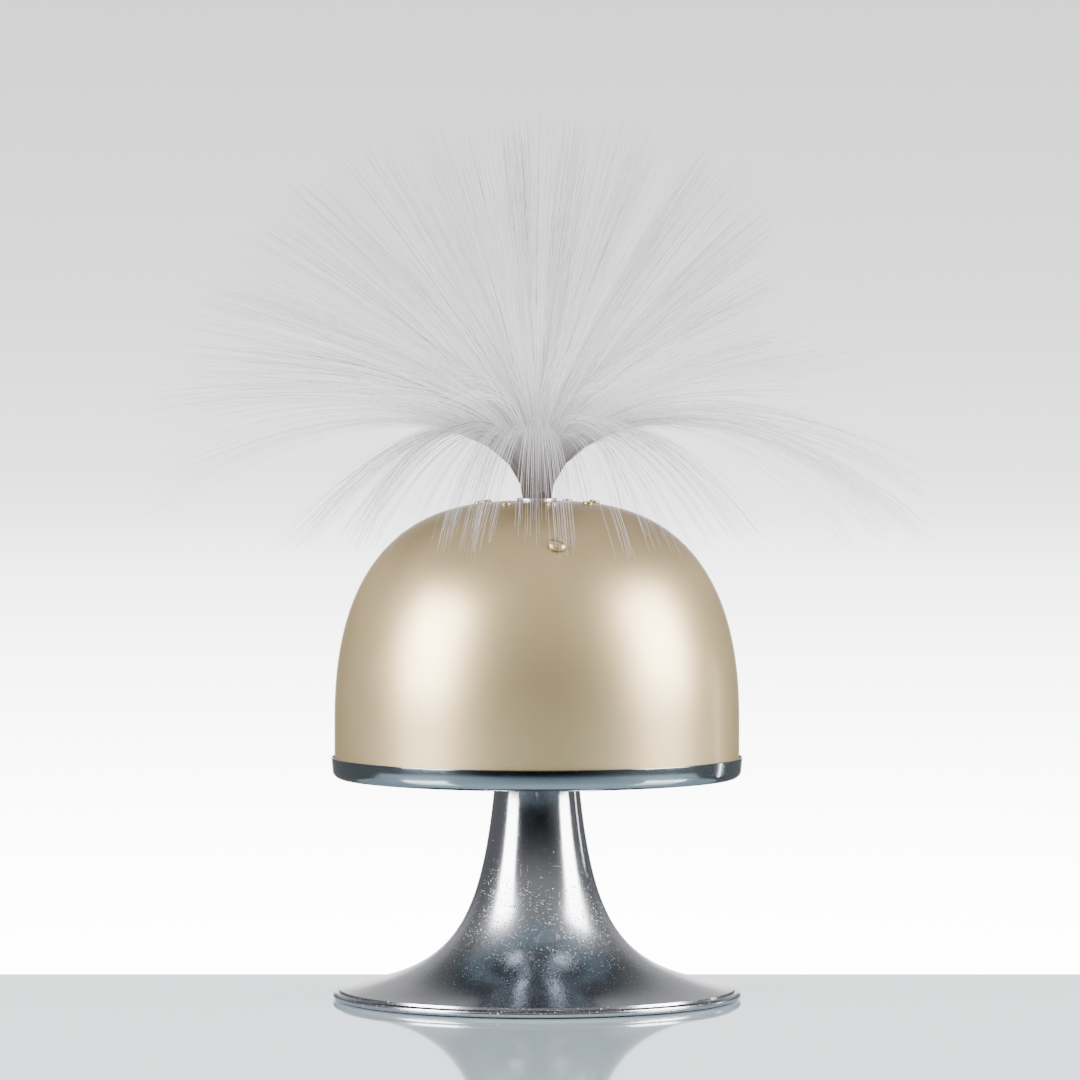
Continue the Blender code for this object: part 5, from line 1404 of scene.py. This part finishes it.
# %% Lengths and leans
UPRIGHT_LENGTH = 0.185
EXTRA_LENGTH = 0.026            # more on the outermost fibres
LONGEST_EXTRA = 0.001           # that chance may add
BROKEN_SHARE = 0.26             # of the length, at most
BROKEN_PLACE = 0.70             # share of the bundle where most are broken
BROKEN_WIDTH = 0.14
SIDE_FROM = 0.80                # fibres outside this share are longer toward the sides
RIGHT_EXTRA = 0.020
LEFT_EXTRA = 0.010
SIDE_SHARPNESS = 6              # a high power keeps the longer fibres close to the side
WIDEST_REACH = 0.1955
UNEVEN_REACH_SHARE = (0.84, 0.99)
RIM_LEAN = math.radians(99)
LEAN_POWER = 1.15               # above one, it sends more fibres into the upright fan

falls = tuft_falls[tuft]
rightward = tuft_right[tuft]
most = UPRIGHT_LENGTH + EXTRA_LENGTH * share
length = np.minimum(most * tuft_length[tuft] * dice.normal(1.0, 0.035, FIBRES), most + LONGEST_EXTRA)
broken = BROKEN_SHARE * np.exp(-((share - BROKEN_PLACE) / BROKEN_WIDTH) ** 2)
length = length * (1 - broken * np.clip(rightward, 0, 1) ** 2)
side_extra = (RIGHT_EXTRA * np.clip(rightward, 0, 1) ** SIDE_SHARPNESS
              + LEFT_EXTRA * np.clip(-rightward, 0, 1) ** SIDE_SHARPNESS)
length = length + ((share > SIDE_FROM) & ~falls) * side_extra
uneven = dice.uniform(*UNEVEN_REACH_SHARE, FIBRES)
widest = WIDEST_REACH * np.where(tuft_locks[tuft], 1.0, uneven)

lean_own = RIM_LEAN * share ** LEAN_POWER
lean_tuft = RIM_LEAN * tuft_share[tuft] ** LEAN_POWER + tuft_lean[tuft] * share
own_bend = dice.normal(0, math.radians(2.5), FIBRES) * share
print("fibre lengths, mm:", (1000 * length.min()).round(), "to", (1000 * length.max()).round())

# %% [markdown]
# The fibres grow in short steps, shortest near the bundle, where they bend most. A fibre turns
# outward at its neck, sags past it and swings toward its tuft. Those that come too low or too near
# the dome are grown again with less droop, and those that reach too far are grown again shorter.

# %% Grow the fibres
FIBRE_POINTS = 13
SUBSTEPS = 4
STEP_SHARE_POWER = 1.35         # above one, the first steps are the shortest
BUNDLE_RADIUS = 0.0069
FIBRE_SINK = 0.0006             # of a fibre's start, below the ferrule's top
BEND_LENGTH = 0.036             # a short length makes a tight bend over the dome's top
NECK = 0.055                    # no fibre sags before this length,
SKIRT_NECK = 0.048              # except those that fall as a skirt
DROOP_POWER = 1.1
SKIRT_POWER = 0.42              # below one, a fibre turns down soon and then falls straight
CLING_SHARE = 0.60              # how far a fibre's tip is drawn to the middle of its tuft
SKIRT_CLING_SHARE = 0.35
CLING_RATE = 2.2                # above one, neighbours meet before their tips
DOME_CLEARANCE = 0.004
LOWEST = 0.2195
ATTEMPTS = 14
LESS_DROOP_SHARE = 0.88
LESS_DROOP = math.radians(0.5)
SHORTER_SHARE = 0.975
ferrule_low, ferrule_top = span("ferrule")
neck = np.where(falls, SKIRT_NECK, NECK)
droop_power = np.where(falls, SKIRT_POWER, DROOP_POWER)
cling_share = np.where(falls, SKIRT_CLING_SHARE, CLING_SHARE)
steps = (FIBRE_POINTS - 1) * SUBSTEPS
marks = np.linspace(0, 1, steps + 1) ** STEP_SHARE_POWER


def grow(droop, length):
    """The points of every fibre, those that come too low or too near the dome, and those too wide."""
    points = np.zeros((FIBRES, FIBRE_POINTS, 3))
    out, up = share * BUNDLE_RADIUS, np.full(FIBRES, ferrule_top - FIBRE_SINK)
    points[:, 0] = round_axis(out, turn, up)
    low, wide = np.zeros(FIBRES, bool), np.zeros(FIBRES, bool)
    for i in range(steps):
        middle, step = (marks[i] + marks[i + 1]) / 2, (marks[i + 1] - marks[i]) * length
        run = middle * length
        cling = cling_share * min(middle * CLING_RATE, 1.0)
        at_neck = lean_own * (1 - cling) + lean_tuft * cling
        fall = np.clip((run - neck) / (length - neck), 0, 1)
        lean = at_neck * (1 - np.exp(-run / BEND_LENGTH)) + droop * fall ** droop_power + own_bend * middle
        out = out + step * np.sin(lean)
        up = up + step * np.cos(lean)
        wide |= out > widest
        out = np.minimum(out, WIDEST_REACH)
        floor = np.maximum(np.interp(out, dome_radii, dome_heights) + DOME_CLEARANCE, LOWEST)
        low |= (run > neck) & (up < floor)
        if (i + 1) % SUBSTEPS == 0:
            swung = turn + turn_to_tuft * cling * middle
            points[:, (i + 1) // SUBSTEPS] = round_axis(out, swung, up)
    return points, low, wide


droop = tuft_droop[tuft]
points, low, wide = grow(droop, length)
for attempt in range(ATTEMPTS):
    droop = np.where(low, droop * LESS_DROOP_SHARE - LESS_DROOP, droop)
    length = np.where(wide, length * SHORTER_SHARE, length)
    points, low, wide = grow(droop, length)
print("fibres still too low:", int(low.sum()), "and too wide:", int(wide.sum()))
print("spray, mm:", (1000 * points.min((0, 1))).round(), (1000 * points.max((0, 1))).round())

# %% [markdown]
# A clear fibre passes on the light of the room behind it, so against the pale backdrop it is hardly
# seen. Thousands of see-through tubes would render slowly and turn dark where they overlap. So a
# fibre is a solid pale thread that tapers toward its tip, and glows faintly to stand for the light
# that passes through it. Two numbers on the mesh say how far along its fibre a point is, and how
# bright that fibre is.

# %% Fibre finish
GLOW_HEIGHTS = (0.25, 0.42)     # between these the glow goes from low to high


def fibre_finish():
    material, tree, sockets = new_finish("clear_fibre", 0.35, 0.0, specular_ior_level=0.3,
                                         emission_strength=1.0)
    along = add_node(tree, "ShaderNodeAttribute", attribute_name="reach").outputs["Fac"]
    shade = add_node(tree, "ShaderNodeAttribute", attribute_name="shade").outputs["Fac"]
    # Painted shade: toward the bundle the fibres' colour and glow turn dark
    from_bundle = remap(tree, along, 0.08, 0.66, smooth=True)
    # Painted light: the glow is brighter low down, where the paler backdrop behind would shine through
    raised = remap(tree, height_on(tree), *GLOW_HEIGHTS, smooth=True)
    body = mix_colours(tree, shade, (0.05, 0.05, 0.055), (0.26, 0.255, 0.265))
    feed(tree, sockets["Base Color"], mix_colours(tree, from_bundle, (0.040, 0.031, 0.028), body))
    low_glow = mix_colours(tree, shade, (0.30, 0.29, 0.32), (2.50, 2.43, 2.55))
    high_glow = mix_colours(tree, shade, (0.07, 0.07, 0.08), (1.04, 1.02, 1.06))
    glow = mix_colours(tree, raised, low_glow, high_glow)
    feed(tree, sockets["Emission Color"], mix_colours(tree, from_bundle, (0.120, 0.092, 0.078), glow))
    return material


clear_fibre = fibre_finish()
print("the fibre's finish has", len(clear_fibre.node_tree.nodes), "nodes")

# %% [markdown]
# Each fibre is one line of a curve with a four-sided bevel, and a whole layer of them is one object
# that is turned into a mesh, since thousands of single objects would be slow. Whole tufts are
# brighter or darker than others, falling fibres are darker, and a few stray ones are thick and dark.

# %% Make the layers
LAYER_SHARES = {"core": (0.0, 0.52), "middle": (0.52, 0.79), "skirt": (0.79, 1.01)}
FIBRE_RADIUS = 0.000125
SECTION = 4                     # sides of a fibre, from a bevel resolution of zero
TIP_SHARE = 0.28                # of a fibre's thickness, at its tip
TAPER_POWER = 0.7
SHADE_CURVE = (2.4, 1.6)        # leans the random brightness toward the bright end
FALLING_SHADE_SHARE = 0.5
STRAY_CHANCE = 0.006
STRAY_THICKNESS = 1.7
tuft_shade = dice.beta(*SHADE_CURVE, TUFTS)
brightness = 0.5 * tuft_shade[tuft] + 0.5 * dice.beta(*SHADE_CURVE, FIBRES)
# Painted shade: falling fibres glow less, so that they read as see-through in front of the dome
brightness = brightness * np.where(falls, FALLING_SHADE_SHARE, 1.0)
stray = dice.random(FIBRES) < STRAY_CHANCE
brightness[stray] = 0.0
stoutness = np.where(stray, STRAY_THICKNESS, 1.0)
taper = np.linspace(1.0, 0.0, FIBRE_POINTS) ** TAPER_POWER * (1 - TIP_SHARE) + TIP_SHARE


def make_layer(layer, low, high):
    chosen = np.flatnonzero((share >= low) & (share < high))
    curve = round_curve("spray_" + layer, FIBRE_RADIUS, 0)
    for fibre in chosen:
        line = curve.splines.new("POLY")
        line.points.add(FIBRE_POINTS - 1)
        line.points.foreach_set("co", np.c_[points[fibre], np.ones(FIBRE_POINTS)].ravel())
        line.points.foreach_set("radius", taper * stoutness[fibre])
    piece = mesh_of(curve, SECTION)
    per_fibre = FIBRE_POINTS * SECTION
    if len(piece.data.vertices) != per_fibre * len(chosen):
        raise ValueError(f"{layer}: {len(piece.data.vertices)} points, not {per_fibre * len(chosen)}")
    reach = np.tile(np.repeat(np.linspace(0, 1, FIBRE_POINTS), SECTION), len(chosen))
    for title, values in (("reach", reach), ("shade", np.repeat(brightness[chosen], per_fibre))):
        piece.data.attributes.new(title, "FLOAT", "POINT").data.foreach_set("value", values)
    bpy.ops.object.shade_smooth()
    print(layer, "has", len(chosen), "fibres")
    dress(piece, "spray", "fibre", clear_fibre, "fibre_" + layer)


for layer, (low, high) in LAYER_SHARES.items():
    make_layer(layer, low, high)

# %% [markdown]
# ## Bundle and ferrule
# Below the dome's top the fibres are glued into a metal ferrule, and their cut ends are ground flat
# so that the light enters them. The bundle is a turned rod whose end face shows the dots of the
# fibres, and the ferrule is a thin tube with a small collar that rests on the dome's socket.

# %% Bundle and ferrule
FERRULE_BORE = 0.0074
FERRULE_WALL = 0.0009
COLLAR_RADIUS = 0.0098
COLLAR_RISE = 0.0010
GLUED_RADIUS = 0.0071
END_EDGE = 0.0003
collar_floor = ferrule_top - COLLAR_RISE

outline = [(0, ferrule_low), (GLUED_RADIUS - BREAK, ferrule_low), (GLUED_RADIUS, ferrule_low + END_EDGE)]
outline += [(GLUED_RADIUS, ferrule_top - 3 * END_EDGE), (0, ferrule_top - END_EDGE)]
bundle = turned("fibre_bundle", outline, 64)
bundle_end, tree, sockets = new_finish("ground_fibre_ends", 0.25, 0.0)
dots = add_node(tree, "ShaderNodeTexVoronoi", {"Vector": object_place(tree), "Scale": 3200.0})
dot = remap(tree, dots.outputs["Distance"], 0.25, 0.55)
feed(tree, sockets["Base Color"], mix_colours(tree, dot, (0.72, 0.69, 0.68), (0.20, 0.18, 0.17)))
dress(bundle, "spray", "fibre", bundle_end)

outline = [(FERRULE_BORE, ferrule_low), (FERRULE_BORE, ferrule_top)]
outline += [(COLLAR_RADIUS - BREAK, ferrule_top), (COLLAR_RADIUS, ferrule_top - BREAK)]
outline += [(COLLAR_RADIUS, collar_floor), (FERRULE_BORE + FERRULE_WALL, collar_floor)]
outline += [(FERRULE_BORE + FERRULE_WALL, ferrule_low), (FERRULE_BORE, ferrule_low)]
dress_as("ferrule", turned("ferrule_tube", outline, 72), "spray")

# %% [markdown]
# ## Last measures
# The dressed lamp's box is printed, in millimetres. The dressed lamp has to keep the CAD model's
# size.

# %% Sizes
low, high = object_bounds()
print("dressed box, mm:", [round(1000 * size, 1) for size in high - low])
